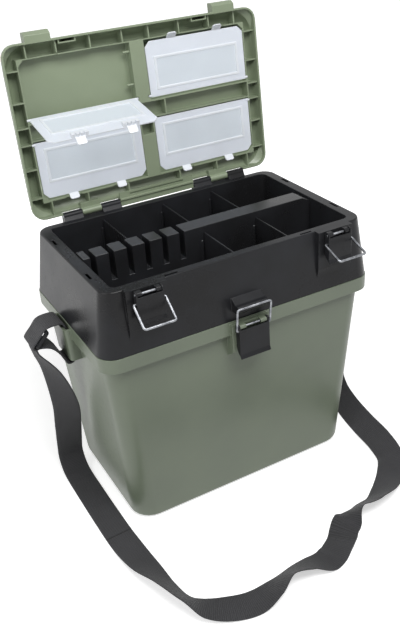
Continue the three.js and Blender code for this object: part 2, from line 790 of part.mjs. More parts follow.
function lidBody() {
  const outer = lidForm(0);
  const cavity = lidForm(lidWall);
  const limit = lidForm(lidWall / 2);
  const deep = lidThickness;
  const walls = lidBox(-lidInnerHalfWidth, lidInnerHalfWidth, lidInnerRear, lidInnerFront,
    lidRecess, deep);
  const pockets = [-1, 1].flatMap((side) => [
    pocket(side, barFrontFace, pocketFrontEdge, -overrun, lidPocketFloor),
    pocket(side, barRearFace, pocketRearEdge, -overrun, lidPocketFloor),
  ]);
  let inner = walls;
  for (const each of pockets) inner = inner.subtract(each);
  const half = lidRibThickness / 2;
  const barSpan = lidInnerHalfWidth - lidInnerWall;
  const trough = lidBox(-barSpan, barSpan, barRearFace + lidInnerWall, barFrontFace - lidInnerWall,
    -overrun, lidPocketFloor);
  const troughRibs = [-1, 1].map((side) => lidBox(side * troughRibX - half, side * troughRibX + half,
    barRearFace, barFrontFace, lidRecess, deep));
  inner = union([inner.subtract(trough), ...troughRibs]);
  inner = inner.subtract(lidBox(-pocketBarX + lidInnerWall, pocketBarX - lidInnerWall,
    barRearFace - pocketBarX * 2, barRearFace - lidInnerWall * 3, -overrun, lidPocketFloor));
  const ribs = [-1, 1].flatMap((side) => [
    ...frontRibX.map((x) => lidBox(side * x - half, side * x + half, lidInnerFront - lidInnerWall / 2,
      lidDepth, lidRecess, deep)),
    ...rearRibX.map((x) => lidBox(side * x - half, side * x + half, 0, lidInnerRear + lidInnerWall / 2,
      lidRecess, deep)),
    ...sideRibS.map((s) => {
      const a = side * (lidInnerHalfWidth - lidInnerWall / 2);
      const b = side * lidHalfWidth;
      return lidBox(...ordered(a, b), s - half, s + half, lidRecess, deep);
    }),
    ...[-1, 1].map((end) => {
      const x = side * frontSlotX + end * (rimSlotLength / 2 + lidWall);
      return lidBox(x - half, x + half, lidDepth - lidWall * 3, lidDepth, lidRecess / 2, deep);
    }),
    lidBox(side * frontSlotX - rimSlotLength / 2 - lidWall, side * frontSlotX + rimSlotLength / 2 + lidWall,
      lidDepth - lidWall * 3, lidDepth - lidWall * 3 + lidRibThickness, lidRecess / 2, deep),
  ]);
  const stripHalf = hingeBlockInnerX - clearance * 2;
  const strip = lidBox(-stripHalf, stripHalf, -rearStripReach, lidWall, lidRecess / 2,
    lidRecess / 2 + lidWall);
  const flange = lidBox(-stripHalf, stripHalf, 0, lidInnerRear / 2, lidRecess / 2, lidRecess / 2 + lidWall)
    .subtract(lidBox(-hingeBlockInnerX * 0.72, hingeBlockInnerX * 0.72, lidInnerRear * 0.24,
      lidInnerRear * 0.36, -overrun, lidRecess));
  const structure = union([inner, ...ribs, flange]).intersect(limit);
  let body = outer.subtract(cavity).add(structure);
  body = body.subtract(coverNotches());
  body = union([body, ...lidLugs(), ...pocketPegs()]);
  body = body.subtract(hingeNotches()).add(strip);
  return union([body, ...lidKnuckles()]).subtract(hingeBores());
}

// Two pegs on the middle wall of the upper left pocket
function pocketPegs() {
  return pegShares.map((share) => rod(-pocketBarX - pegLength, -pocketBarX + lidInnerWall,
    lidY(share * lidDepth), lidZ(pegDepth), lidInnerWall, 8));
}

// Slots for the covers' pins and notches for their snap tabs
function coverNotches() {
  const cuts = [];
  const notchFloor = coverSink + coverThickness + clearance;
  for (const side of [-1, 1]) {
    for (const axisS of [upperAxisS, lowerAxisS]) {
      const half = coverPinDiameter / 2 + clearance;
      const innerEnd = pocketBarX - coverPinLength;
      const outerEnd = coverOuterX + coverPinLength + clearance;
      const ends = [[innerEnd, pocketBarX + overrun], [coverOuterX, outerEnd]];
      for (const [a, b] of ends) {
        cuts.push(lidBox(...ordered(side * a, side * b),
          axisS - half, axisS + half, -overrun, coverAxisW + half));
      }
    }
    for (const x of coverTabX) {
      const half = coverHookWidth / 2 + clearance * 2;
      cuts.push(lidBox(side * x - half, side * x + half, pocketFrontEdge - overrun,
        lidInnerFront + overrun / 2, -overrun, notchFloor));
      cuts.push(lidBox(side * x - half, side * x + half, lidInnerRear - overrun / 2,
        pocketRearEdge + overrun, -overrun, notchFloor));
    }
  }
  return union(cuts);
}

function lidLugs() {
  const front = lidY(lidDepth);
  const tip = front - lugReach;
  const top = lidZ(lugTop);
  const low = lidZ(0);
  const shape = polygon([
    [front + lidWall / 2, low],
    [tip + lugReach * 0.35, low],
    [tip, low + lugReach * 0.5],
    [tip, top - clearance],
    [tip + lidWall * 0.4, top],
    [front + lidWall / 2, top],
  ]);
  const foot = lidLevelInset(lugTop);
  const back = polygon([
    [front, low], [front + foot + lidWall / 2, top], [front, top],
  ]);
  return [-1, 1].map((side) => {
    const x0 = side * latchX - lugWidth / 2;
    const x1 = side * latchX + lugWidth / 2;
    return profile(shape, x0, x1).add(profile(back, x0, x1));
  });
}

// How far the lid's shoulder has drawn in at a height above the rim
function lidLevelInset(w) {
  const rise = (w - lidEdge) / (lidThickness - lidEdge);
  const after = shoulderShares.findIndex(([share]) => share >= rise);
  const [r0, i0] = after > 0 ? shoulderShares[after - 1] : [0, 0];
  const [r1, i1] = shoulderShares[after];
  return lidRound * THREE.MathUtils.lerp(i0, i1, (rise - r0) / (r1 - r0));
}

function hingeSpans(gap) {
  return [-1, 1].map((side) => {
    const a = side * (hingeBlockOuterX + gap);
    const b = side * (hingeBlockInnerX - gap);
    return ordered(a, b);
  });
}

function hingeNotches() {
  return union(hingeSpans(trayHingeGap).map(([x0, x1]) => lidBox(x0, x1, -overrun * 2,
    hingeNotchDepth, -overrun, hingeNotchHeight)));
}

function lidKnuckles() {
  return [-1, 1].map((side) => {
    const a = side * (knuckleOuterX - trayHingeGap);
    const b = side * (knuckleInnerX + trayHingeGap);
    const [x0, x1] = ordered(a, b);
    const shape = new THREE.Shape();
    const inset = lidLevelInset(hingeNotchHeight + knuckleRadius);
    shape.moveTo(-knuckleRadius, 0);
    shape.absarc(0, 0, knuckleRadius, Math.PI, 2 * Math.PI, false);
    shape.lineTo(knuckleRadius, knuckleRadius);
    shape.lineTo(lidY(inset + lidWall / 2), lidZ(hingeNotchHeight + knuckleRadius));
    shape.lineTo(lidY(hingeNotchDepth + lidWall / 2), lidZ(hingeNotchHeight + lidWall / 2));
    shape.lineTo(lidY(hingeNotchDepth + lidWall / 2), 0);
    return profile(shape, x0, x1, 8);
  });
}

function hingeBores() {
  return union(hingeSpans(overrun).map(([x0, x1]) => rod(x0, x1, 0, 0,
    hingePinDiameter / 2 + clearance)));
}

// Pocket covers: a plate framed on both faces, two hinge pins, two snap hooks and two tongues

function coverBody(side, hingeS, edgeS) {
  const direction = Math.sign(edgeS - hingeS);
  const axisS = hingeS + direction * coverPinInset;
  const at = (s) => -(s - axisS);
  const plate = polygon([
    [side * coverInnerX, at(hingeS)],
    [side * coverOuterX, at(hingeS)],
    [side * coverOuterX, at(edgeS - direction * pocketChamfer)],
    [side * (coverOuterX - pocketChamfer), at(edgeS)],
    [side * (coverInnerX + pocketChamfer), at(edgeS)],
    [side * coverInnerX, at(edgeS - direction * pocketChamfer)],
  ]);
  const slab = (shape, w0, w1, place = new THREE.Matrix4()) => {
    const geometry = new THREE.ExtrudeGeometry(shape, { depth: w1 - w0, bevelEnabled: false });
    geometry.translate(0, 0, w0);
    return solid(geometry.applyMatrix4(place));
  };
  const bend = new THREE.Matrix4().makeRotationX(rad(direction * coverTabTilt))
    .setPosition(0, at(edgeS), 0);
  const half = coverThickness / 2;
  const frameInset = pocketChamfer * 2 - coverPinInset;
  const frame = (grow) => {
    const x0 = side * (coverInnerX + frameInset - grow);
    const x1 = side * (coverOuterX - frameInset + grow);
    const s0 = at(hingeS + direction * (frameInset - coverPinInset - grow));
    const s1 = at(edgeS - direction * (frameInset + pocketChamfer + coverPinInset - grow));
    return [...ordered(x0, x1), ...ordered(s0, s1)];
  };
  const bead = box(...frame(coverFrameWidth / 2), -half - coverFrame, half + coverFrame)
    .subtract(box(...frame(-coverFrameWidth / 2), -half - coverFrame - overrun, -half))
    .subtract(box(...frame(-coverFrameWidth / 2), half, half + coverFrame + overrun));
  const tabs = coverTabX.flatMap((x) => {
    const root = coverTabWidth / 2;
    const tip = root - coverThickness;
    const tongue = slab(polygon([
      [side * x - root, overrun * direction],
      [side * x + root, overrun * direction],
      [side * x + root, -direction * (coverTabReach - coverThickness)],
      [side * x + tip, -direction * coverTabReach],
      [side * x - tip, -direction * coverTabReach],
      [side * x - root, -direction * (coverTabReach - coverThickness)],
    ]), -half, half, bend);
    const wide = coverHookWidth / 2;
    const hook = box(side * x - wide, side * x + wide,
      ...ordered(at(edgeS - direction * clearance), at(edgeS - direction * coverHookDepth)),
      0, half + coverHookHeight);
    const grooves = [-1, 0, 1].map((k) => {
      const middle = side * x + k * coverHookWidth / 4;
      return box(middle - coverHookGroove / 2, middle + coverHookGroove / 2,
        ...ordered(at(edgeS + direction * overrun), at(edgeS - direction * coverHookDepth / 2)),
        half, half + coverHookHeight + overrun);
    });
    return [tongue, grooves.reduce((rest, groove) => rest.subtract(groove), hook)];
  });
  const pinEnds = [[coverInnerX - coverPinLength, coverInnerX + overrun],
    [coverOuterX - overrun, coverOuterX + coverPinLength]];
  const pins = pinEnds.map(([a, b]) => rod(...ordered(side * a, side * b),
    0, 0, coverPinDiameter / 2, 10));
  return union([slab(plate, -half, half), bead, ...tabs, ...pins]);
}

// Latch levers: a folded channel with two ears, drawn about the pin

function leverBody(halfWidth, length, rear, pivotY, pivotZ) {
  const flange = new THREE.Shape();
  const front = -earRadius;
  const lip = leverWall * 0.8;
  flange.moveTo(front, 0);
  flange.absarc(0, 0, earRadius, Math.PI, 0, true);
  flange.lineTo(rear, -length * 0.55);
  flange.quadraticCurveTo(rear, -length * 0.85, front, -length * 0.92);
  flange.lineTo(front - lip, -length);
  flange.lineTo(front - lip - leverWall, -length + leverWall / 2);
  flange.lineTo(front - leverWall * 0.4, -length * 0.86);
  const insideShape = new THREE.Shape();
  const top = -earRadius * 0.6;
  insideShape.moveTo(front + leverWall, top + earRadius * 2);
  insideShape.lineTo(front - overrun * 2, top + earRadius * 2);
  insideShape.lineTo(front - overrun * 2, top);
  insideShape.lineTo(front + leverWall, top);
  insideShape.lineTo(front + leverWall, -length * 0.8);
  insideShape.lineTo(rear + overrun * 2, -length * 0.8);
  insideShape.lineTo(rear + overrun * 2, top + earRadius * 2);
  const inner = halfWidth - leverWall;
  const outer = profile(flange, -halfWidth, halfWidth, 6);
  const body = outer.subtract(profile(insideShape, -inner, inner));
  return body
    .subtract(rod(-halfWidth - overrun, halfWidth + overrun, 0, 0, latchPinDiameter / 2 + clearance))
    .subtract(rod(-halfWidth - overrun, halfWidth + overrun, pivotY, pivotZ, wire / 2 + clearance));
}

// A curve through given points, one step a point, so that bends keep their own steps
class WirePath extends THREE.Curve {
  constructor(points) {
    super();
    this.points = points;
  }

  getPoint(t, target = new THREE.Vector3()) {
    const place = Math.min(Math.max(t, 0), 1) * (this.points.length - 1);
    const i = Math.min(Math.floor(place), this.points.length - 2);
    return target.lerpVectors(this.points[i], this.points[i + 1], place - i);
  }

  getUtoTmapping(u) {
    return u;
  }
}

// Points along straight runs joined by arcs of the given bend radii
function bentPoints(corners, bends, steps) {
  const points = [corners[0]];
  for (let i = 1; i + 1 < corners.length; i += 1) {
    const here = corners[i];
    const back = corners[i - 1].clone().sub(here).normalize();
    const ahead = corners[i + 1].clone().sub(here).normalize();
    const from = here.clone().addScaledVector(back, bends[i - 1]);
    const to = here.clone().addScaledVector(ahead, bends[i - 1]);
    const centre = here.clone().addScaledVector(back, bends[i - 1]).addScaledVector(ahead, bends[i - 1]);
    for (let k = 0; k <= steps; k += 1) {
      const angle = (k / steps) * Math.PI / 2;
      points.push(centre.clone()
        .addScaledVector(to.clone().sub(centre), Math.sin(angle))
        .addScaledVector(from.clone().sub(centre), Math.cos(angle)));
    }
  }
  points.push(corners[corners.length - 1]);
  return points;
}

function bailBody(halfWidth, flangeHalfWidth) {
  const end = flangeHalfWidth - leverWall + clearance;
  const corners = [
    new THREE.Vector3(-end, 0, 0),
    new THREE.Vector3(-halfWidth, 0, 0),
    new THREE.Vector3(-halfWidth, 0, bailLength),
    new THREE.Vector3(halfWidth, 0, bailLength),
    new THREE.Vector3(halfWidth, 0, 0),
    new THREE.Vector3(end, 0, 0),
  ];
  const tight = Math.min(halfWidth - end, bailCorner) * 0.6;
  const points = bentPoints(corners, [tight, bailCorner, bailCorner, tight], 4);
  const section = new THREE.Shape();
  section.absarc(0, 0, wire / 2, 0, 2 * Math.PI, false);
  const geometry = new THREE.ExtrudeGeometry(section, {
    steps: points.length - 1, extrudePath: new WirePath(points), curveSegments: 4,
  });
  return solid(geometry);
}

// Shoulder strap

// Route of the webbing, row by row: centre point, then the way its width runs
const strapRoute = [
  [-232.6, 11, 241.8, 0, -1, 0],
  [-231.8, 11, 236, 0.05, -1, 0],
  [-224, 12, 218, 0.3, -0.95, 0],
  [-214, 14, 194, 0.5, -0.87, 0],
  [-200, 28, 128, 0.85, -0.5, 0],
  [-198, 40, 88, 0.95, -0.3, 0],
  [-197, 52, 50, 1, -0.1, 0],
  [-197, 56, 22, 1, 0, 0],
  [-197, 44, 6, 1, 0, 0],
  [-197, 24, 1.4, 1, 0, 0],
  [-197, -70, 1.4, 1, 0, 0],
  [-196, -118, 1.6, 1, 0, 0.02],
  [-193, -165, 6, 0.9, 0.35, -0.2],
  [-186, -211, 12, 0.6, 0.55, -0.58],
  [-176, -247, 12, 0.42, 0.68, -0.6],
  [-160, -267, 6, 0.4, 0.9, -0.2],
  [-136, -280, 3, 0.3, 0.95, 0],
  [-106, -287, 1.6, 0.1, 1, 0],
  [-78, -285, 7, 0.15, 0.93, -0.3],
  [-52, -279, 12, 0.2, 0.76, -0.62],
  [-26, -279, 9, 0.15, 0.87, -0.45],
  [2, -280, 1.6, 0, 1, 0],
  [30, -267, 1.6, 0.5, 0.87, 0],
  [58, -246, 6, 0.62, 0.75, 0.25],
  [84, -237, 12, 0.4, 0.68, -0.6],
  [112, -235, 12, 0.2, 0.76, -0.6],
  [140, -222, 8, -0.2, 0.9, -0.35],
  [166, -202, 4, -0.7, 0.7, -0.1],
  [184, -180, 9, -0.85, 0.35, -0.38],
  [191, -150, 13, -0.8, 0, -0.6],
  [197, -104, 13, -0.78, 0, -0.62],
  [206, -56, 13, -0.75, 0, -0.66],
  [217, -18, 16, -0.7, 0.1, -0.7],
  [227, 8, 30, -0.6, 0.4, -0.6],
  [231, 20, 60, -0.6, 0.75, -0.2],
  [227, 18, 150, -0.3, 0.95, 0],
  [225, 14, 196, -0.1, 1, 0],
  [228, 11.5, 218, 0, 1, 0],
  [231.8, 11, 236, 0, 1, 0],
  [232.6, 11, 241.8, 0, 1, 0],
];

// A flat band along rows of centre point and width direction, closed on itself if asked
function ribbon(rows, width, thickness, perSpan, closed = false) {
  const vectors = (from, to) => rows.map((row) => new THREE.Vector3(...row.slice(from, to)));
  const centres = new THREE.CatmullRomCurve3(vectors(0, 3), closed);
  const widths = new THREE.CatmullRomCurve3(vectors(3, 6), closed);
  const count = (rows.length - (closed ? 0 : 1)) * perSpan;
  const sections = closed ? count : count + 1;
  const position = [];
  const index = [];
  for (let i = 0; i < sections; i += 1) {
    const t = i / count;
    const centre = centres.getPoint(t);
    const along = centres.getTangent(t);
    const across = widths.getPoint(t);
    across.addScaledVector(along, -across.dot(along)).normalize();
    const normal = new THREE.Vector3().crossVectors(along, across);
    const reach = Math.abs(across.z) * width / 2 + Math.abs(normal.z) * thickness / 2;
    centre.z = Math.max(centre.z, reach);
    for (const [u, v] of [[-1, -1], [1, -1], [1, 1], [-1, 1]]) {
      const corner = centre.clone()
        .addScaledVector(across, u * width / 2)
        .addScaledVector(normal, v * thickness / 2);
      position.push(corner.x, corner.y, corner.z);
    }
    if (i < count) {
      for (let k = 0; k < 4; k += 1) {
        const a = i * 4 + k;
        const b = i * 4 + (k + 1) % 4;
        const wrap = sections * 4;
        index.push(a, b, (b + 4) % wrap, a, (b + 4) % wrap, (a + 4) % wrap);
      }
    }
  }
  if (!closed) {
    const last = count * 4;
    index.push(0, 2, 1, 0, 3, 2, last, last + 1, last + 2, last, last + 2, last + 3);
  }
  const geometry = new THREE.BufferGeometry();
  geometry.setAttribute('position', new THREE.Float32BufferAttribute(position, 3));
  geometry.setIndex(index);
  return solid(geometry);
}

// The slider leans outside its bracket: an outer frame and a middle bar
const sliderX = binTopHalfWidth + bracketProud + sliderReach;

function sliderBody(side) {
  const outline = (inset, radius) => {
    const wide = sliderHalfWidth - inset;
    const tall = sliderHeight / 2 - inset;
    const shape = new THREE.Shape();
    shape.moveTo(-wide + radius, -tall);
    shape.lineTo(wide - radius, -tall);
    shape.quadraticCurveTo(wide, -tall, wide, -tall + radius);
    shape.lineTo(wide, tall - radius);
    shape.quadraticCurveTo(wide, tall, wide - radius, tall);
    shape.lineTo(-wide + radius, tall);
    shape.quadraticCurveTo(-wide, tall, -wide, tall - radius);
    shape.lineTo(-wide, -tall + radius);
    shape.quadraticCurveTo(-wide, -tall, -wide + radius, -tall);
    return shape;
  };
  const frame = outline(0, sliderBar);
  frame.holes.push(outline(sliderBar, sliderBar / 4));
  const geometry = new THREE.ExtrudeGeometry(frame, {
    depth: sliderThickness, bevelEnabled: false, curveSegments: 3,
  });
  geometry.applyMatrix4(new THREE.Matrix4().makeBasis(
    new THREE.Vector3(0, 1, 0), new THREE.Vector3(0, 0, 1), new THREE.Vector3(1, 0, 0)));
  geometry.translate(-sliderThickness / 2, 0, 0);
  const bar = new THREE.CylinderGeometry(sliderBar * 0.45, sliderBar * 0.45,
    sliderHalfWidth * 2 - sliderBar, 12);
  const place = new THREE.Matrix4().makeRotationY(-side * rad(sliderTilt))
    .setPosition(side * sliderX, bracketY, sliderZ);
  return solid(geometry.applyMatrix4(place)).add(solid(bar.applyMatrix4(place)));
}

// The short loop of webbing through a bracket's slot and folded over the leaning slider
function loopBody(side) {
  const [wallX] = binAt(bracketTop);
  const slotX = wallX + bracketProud - bracketWall - strapThickness;
  const low = bracketTop - bracketHeight;
  const lean = (wallX - binAt(low)[0]) * 1.3;
  const turn = (sliderThickness + strapThickness) / 2 + clearance * 1.6;
  const end = sliderHeight / 2;
  const tilt = rad(sliderTilt);
  const beside = (out, down) => [
    sliderX + out * Math.cos(tilt) + down * Math.sin(tilt),
    sliderZ + out * Math.sin(tilt) - down * Math.cos(tilt),
  ];
  const outline = [
    [slotX - lean, low + bracketRound],
    [slotX - lean / 2, bandTop - bandHeight * 1.7],
    [slotX - lean * 0.2, bandTop - bandHeight],
    [slotX + clearance, bracketTop - clearance],
    [slotX + bracketWall, bracketTop + strapThickness * 3],
    [slotX + bracketProud * 0.9, bracketTop + strapThickness * 3.8],
    beside(turn, -end),
    beside(turn, 0),
    beside(turn, end),
    beside(turn * Math.SQRT1_2, end + turn * Math.SQRT1_2),
    beside(0, end + turn),
    beside(-turn * Math.SQRT1_2, end + turn * Math.SQRT1_2),
    beside(-turn, end),
    [slotX + bracketHalfWidth, sliderZ - sliderHeight * 0.58],
    [slotX + bracketProud * 1.2, low + bracketRound * 3.2],
    [slotX + bracketRound * 1.7, low + bracketRound * 1.3],
    [slotX + bracketWall, low - strapThickness * 3],
    [slotX - lean, low - strapThickness * 2],
  ];
  const rows = outline.map(([x, z]) => [side * x, bracketY, z, 0, side, 0]);
  return ribbon(rows, strapWidth, strapThickness, 2, true);
}

// The assembly

piece('lower_bin', lowerBin(), green);
piece('upper_tray', upperTray(), black);
piece('rod_rack', rodRack(), black);
rearDividerX.forEach((x, i) => piece(`rear_divider_${i + 1}`, divider(x, rackRearY, 1), black));
frontDividerX.forEach((x, i) => piece(`front_divider_${i + 1}`, divider(x, rackFrontY, -1), black));

for (const [name, side] of [['left', -1], ['right', 1]]) {
  const outer = side * hingeBlockOuterX;
  const inner = side * hingeBlockInnerX;
  piece(`${name}_lid_hinge_pin`, rod(...ordered(outer, inner), hingeY, hingeZ,
    hingePinDiameter / 2), steel);
  const rearOuter = side * trayHingeOuterX;
  const rearInner = side * trayHingeInnerX;
  piece(`${name}_tray_hinge_pin`, rod(...ordered(rearOuter, rearInner),
    trayHingeY, bandTop, hingePinDiameter / 2), steel);
}

const lidGroup = new THREE.Group();
lidGroup.position.set(0, hingeY, hingeZ);
lidGroup.rotation.x = -rad(lidOpenAngle);
object.add(lidGroup);
piece('lid', lidBody(), green, lidGroup);

const covers = [
  ['upper_left', -1, upperCoverHinge, upperCoverEdge, -openCoverAngle],
  ['upper_right', 1, upperCoverHinge, upperCoverEdge, 0],
  ['lower_left', -1, lowerCoverHinge, lowerCoverEdge, 0],
  ['lower_right', 1, lowerCoverHinge, lowerCoverEdge, 0],
];
for (const [name, side, hingeS, edgeS, angle] of covers) {
  const axisS = hingeS + Math.sign(edgeS - hingeS) * coverPinInset;
  const cover = piece(`${name}_pocket_cover`, coverBody(side, hingeS, edgeS), milky, lidGroup);
  cover.position.set(0, lidY(axisS), lidZ(coverAxisW));
  cover.rotation.x = -rad(angle);
}

function latch(name, x, pin, halfWidth, length, rear, pivot, bailHalf, bailAngle) {
  const lever = piece(`${name}_latch_lever`,
    leverBody(halfWidth, length, rear, pivot[0], pivot[1]), black);
  lever.position.set(x, pin.pinY, pin.pinZ);
  const axle = piece(`${name}_latch_pin`, rod(-halfWidth, halfWidth, 0, 0, latchPinDiameter / 2), steel);
  axle.position.copy(lever.position);
  const bail = piece(`${name}_latch_bail`, bailBody(bailHalf, halfWidth), steel);
  bail.position.set(x, pin.pinY + pivot[0], pin.pinZ + pivot[1]);
  bail.rotation.x = rad(90 - bailAngle);
}

const upperPivot = [latchPinProud - bailPivotProud, -bailPivotDrop];
const leverRear = latchPinProud - clearance * 2;
latch('left', -latchX, upperPin, leverHalfWidth, leverLength, leverRear, upperPivot,
  bailHalfWidth, leftBailAngle);
latch('right', latchX, upperPin, leverHalfWidth, leverLength, leverRear, upperPivot,
  bailHalfWidth, rightBailAngle);
latch('centre', 0, centrePin, centreLeverHalfWidth, centreLeverLength, earRadius - clearance * 3,
  [-centrePivotProud, -centrePivotDrop], centreBailHalfWidth, centreBailAngle);

piece('shoulder_strap', ribbon(strapRoute, strapWidth, strapThickness, 2), webbing);
for (const [name, side] of [['left', -1], ['right', 1]]) {
  piece(`${name}_strap_slider`, sliderBody(side), black);
  piece(`${name}_strap_loop`, loopBody(side), webbing);
}

export default object;
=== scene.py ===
import json
import math

import bmesh
import bpy
from mathutils import Matrix, Vector

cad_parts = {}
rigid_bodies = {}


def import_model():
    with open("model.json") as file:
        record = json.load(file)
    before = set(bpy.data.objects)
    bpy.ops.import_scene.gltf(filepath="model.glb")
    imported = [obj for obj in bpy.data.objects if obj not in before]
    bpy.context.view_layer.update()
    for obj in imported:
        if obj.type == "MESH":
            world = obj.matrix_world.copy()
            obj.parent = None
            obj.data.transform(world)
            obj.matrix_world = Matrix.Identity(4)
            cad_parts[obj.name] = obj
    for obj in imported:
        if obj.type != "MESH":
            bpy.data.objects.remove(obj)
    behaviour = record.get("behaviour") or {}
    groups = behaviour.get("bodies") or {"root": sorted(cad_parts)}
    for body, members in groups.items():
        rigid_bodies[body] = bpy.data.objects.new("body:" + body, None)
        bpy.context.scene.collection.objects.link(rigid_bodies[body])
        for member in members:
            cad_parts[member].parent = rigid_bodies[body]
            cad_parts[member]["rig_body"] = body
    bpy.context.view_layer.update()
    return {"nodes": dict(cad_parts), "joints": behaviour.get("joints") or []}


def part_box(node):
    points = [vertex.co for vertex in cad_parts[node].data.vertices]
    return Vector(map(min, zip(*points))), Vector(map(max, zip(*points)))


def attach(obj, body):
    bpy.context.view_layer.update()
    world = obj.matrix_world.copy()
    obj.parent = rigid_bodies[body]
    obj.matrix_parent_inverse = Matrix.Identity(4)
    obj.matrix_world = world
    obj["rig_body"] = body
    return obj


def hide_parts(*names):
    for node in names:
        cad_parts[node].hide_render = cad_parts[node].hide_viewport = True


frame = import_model()

MM = 0.001

# Camera, in metres and degrees, fitted to the photograph's 400 by 625 frame
FRAME_HEIGHT_PX = 625
FOCAL_PX = 806.9
SENSOR_HEIGHT = 36.0
CAMERA_TARGET = (-0.0049, 0.0, 0.218)
CAMERA_DISTANCE = 1.0837
CAMERA_AZIMUTH = -27.2
CAMERA_ELEVATION = 29.9
CAMERA_ROLL = -3.9

# Webbing: its doubled thickness and the share of it where it is single
STRAP_WIDTH = 36 * MM
STRAP_THICKNESS = 2 * MM
SINGLE_SHARE = 0.6
STRAP_STEP = 2 * MM
LOOP_STEP = 2.2 * MM
BRACKET_Y = 11 * MM

# Weave, sewing and folds, along the band and across it, with painted shade in the weave's hollows, along the
# stitch rows and in the fold
WEAVE_PITCH = 2.2 * MM
WARP_PITCH = 1.1 * MM
STITCH_PITCH = 3.6 * MM
STITCH_SHARE = 0.45
FOLD_REACH = 1.2 * MM
RIB_WEIGHT = 0.65
WARP_WEIGHT = 0.35
FUZZ_WEIGHT = 0.3
# Painted light and shade: how much lighter the weave's higher parts are than its hollows
RIB_LIGHT_AND_SHADE = 0.75
WEAR_TONE = 0.35
GROOVE_SHADE = 0.75
WEAVE_DEPTH = 0.5 * MM
WEAVE_STRENGTH = 0.9

# Stretches along the strap where it is folded back or sewn on itself
DOUBLED = ((0.0, 400 * MM), (778 * MM, 806 * MM))

# Route of the shoulder strap, in millimetres: centre point, then the way its width runs
STRAP_ROUTE = [
    [-232.6, 11, 241.8, 0, -1, 0],
    [-231.8, 11, 236, 0.05, -1, 0],
    [-224, 12, 218, 0.3, -0.95, 0],
    [-214, 14, 194, 0.5, -0.87, 0],
    [-200, 28, 128, 0.85, -0.5, 0],
    [-198, 40, 88, 0.95, -0.3, 0],
    [-197, 52, 50, 1, -0.1, 0],
    [-197, 56, 22, 1, 0, 0],
    [-197, 44, 6, 1, 0, 0],
    [-197, 24, 1.4, 1, 0, 0],
    [-197, -70, 1.4, 1, 0, 0],
    [-196, -118, 1.6, 1, 0, 0.02],
    [-193, -165, 6, 0.9, 0.35, -0.2],
    [-186, -211, 12, 0.6, 0.55, -0.58],
    [-176, -247, 12, 0.42, 0.68, -0.6],
    [-160, -267, 6, 0.4, 0.9, -0.2],
    [-136, -280, 3, 0.3, 0.95, 0],
    [-106, -287, 1.6, 0.1, 1, 0],
    [-78, -285, 7, 0.15, 0.93, -0.3],
    [-52, -279, 12, 0.2, 0.76, -0.62],
    [-26, -279, 9, 0.15, 0.87, -0.45],
    [2, -280, 1.6, 0, 1, 0],
    [30, -267, 1.6, 0.5, 0.87, 0],
    [58, -246, 6, 0.62, 0.75, 0.25],
    [84, -237, 12, 0.4, 0.68, -0.6],
    [112, -235, 12, 0.2, 0.76, -0.6],
    [140, -222, 8, -0.2, 0.9, -0.35],
    [166, -202, 4, -0.7, 0.7, -0.1],
    [184, -180, 9, -0.85, 0.35, -0.38],
    [191, -150, 13, -0.8, 0, -0.6],
    [197, -104, 13, -0.78, 0, -0.62],
    [206, -56, 13, -0.75, 0, -0.66],
    [217, -18, 16, -0.7, 0.1, -0.7],
    [227, 8, 30, -0.6, 0.4, -0.6],
    [231, 20, 60, -0.6, 0.75, -0.2],
    [227, 18, 150, -0.3, 0.95, 0],
    [225, 14, 196, -0.1, 1, 0],
    [228, 11.5, 218, 0, 1, 0],
    [231.8, 11, 236, 0, 1, 0],
    [232.6, 11, 241.8, 0, 1, 0],
]

# Line of the short loop through a bracket and round its slider, in millimetres: distance out and height
LOOP_ROUTE = [
    [188.4, 223], [190.5, 234.7], [191.8, 247.8], [193, 261.7], [196.1, 268], [206.2, 269.6],
    [218.5, 267.5], [227, 258.4], [235.6, 249.3], [236.6, 246.8], [235.5, 244.4], [233, 243.4],
    [230.5, 244.5], [217.7, 241.5], [210.7, 236.2], [202.9, 224.8], [196.1, 211], [188.4, 213],
]


# Width of the rounded edges of each kind of moulding
EDGE_WIDTH = {
    "lower_bin": 0.6 * MM,
    "lid": 0.55 * MM,
    "rod_rack": 0.6 * MM,
    "upper_tray": 0.8 * MM,
    "divider": 0.4 * MM,
    "lever": 0.5 * MM,
    "cover": 0.35 * MM,
    "slider": 0.9 * MM,
}

# Stretches of a noise's values that are spread over a finish's whole range
TONE_SPAN = (0.45, 0.85)
MIDDLE_SPAN = (0.3, 0.7)
CLOUD_SPAN = (0.35, 0.65)
SCUFF_SPAN = (0.55, 0.75)
WORN_HIGHLIT_SPAN = (0.42, 0.62)
WEAVE_SPAN = (0.3, 1.0)

# Moulded plastic: detail and roughness of its noises, then how strongly they count
UNEVEN_AND_SHEEN_NOISE = (3.0, 0.55)
GRAIN_NOISE = (2.0, 0.6)
SCUFF_NOISE = (5.0, 0.7)
SCUFF_COARSER = 9
GRAIN_TONE = 0.25
ROUGHNESS_SPREAD = 0.06
SCUFF_ROUGHNESS = 0.1
UNEVEN_DEPTH = 0.6 * MM
UNEVEN_STRENGTH = 0.25
FINE_STRENGTH = 0.5

# Rounded edges, paler in patches: rubbed wear and a painted highlight
WORN_HIGHLIT_NOISE = (70.0, 6.0, 0.7)
WORN_HIGHLIT_LEAST = 0.1
RUB_ROUGHNESS = 0.08
RUB_GRAIN = 900.0
RUB_DEPTH = 0.05 * MM

# Milky plastic
FLOW_NOISE = (28.0, 4.0, 0.6)
FLOW_SHADE = 0.93
FLOW_ALPHA = 0.03
MILKY_GRAIN = 1100.0
MILKY_DEPTH = 0.04 * MM
MILKY_ROUGHNESS = (0.3, 0.42)
SHADOW_PASSING = 0.86
GLOW_WEIGHT = 0.35
GLOW_COLOUR = (1.0, 1.0, 1.1)
GLOW_REACH = 3 * MM

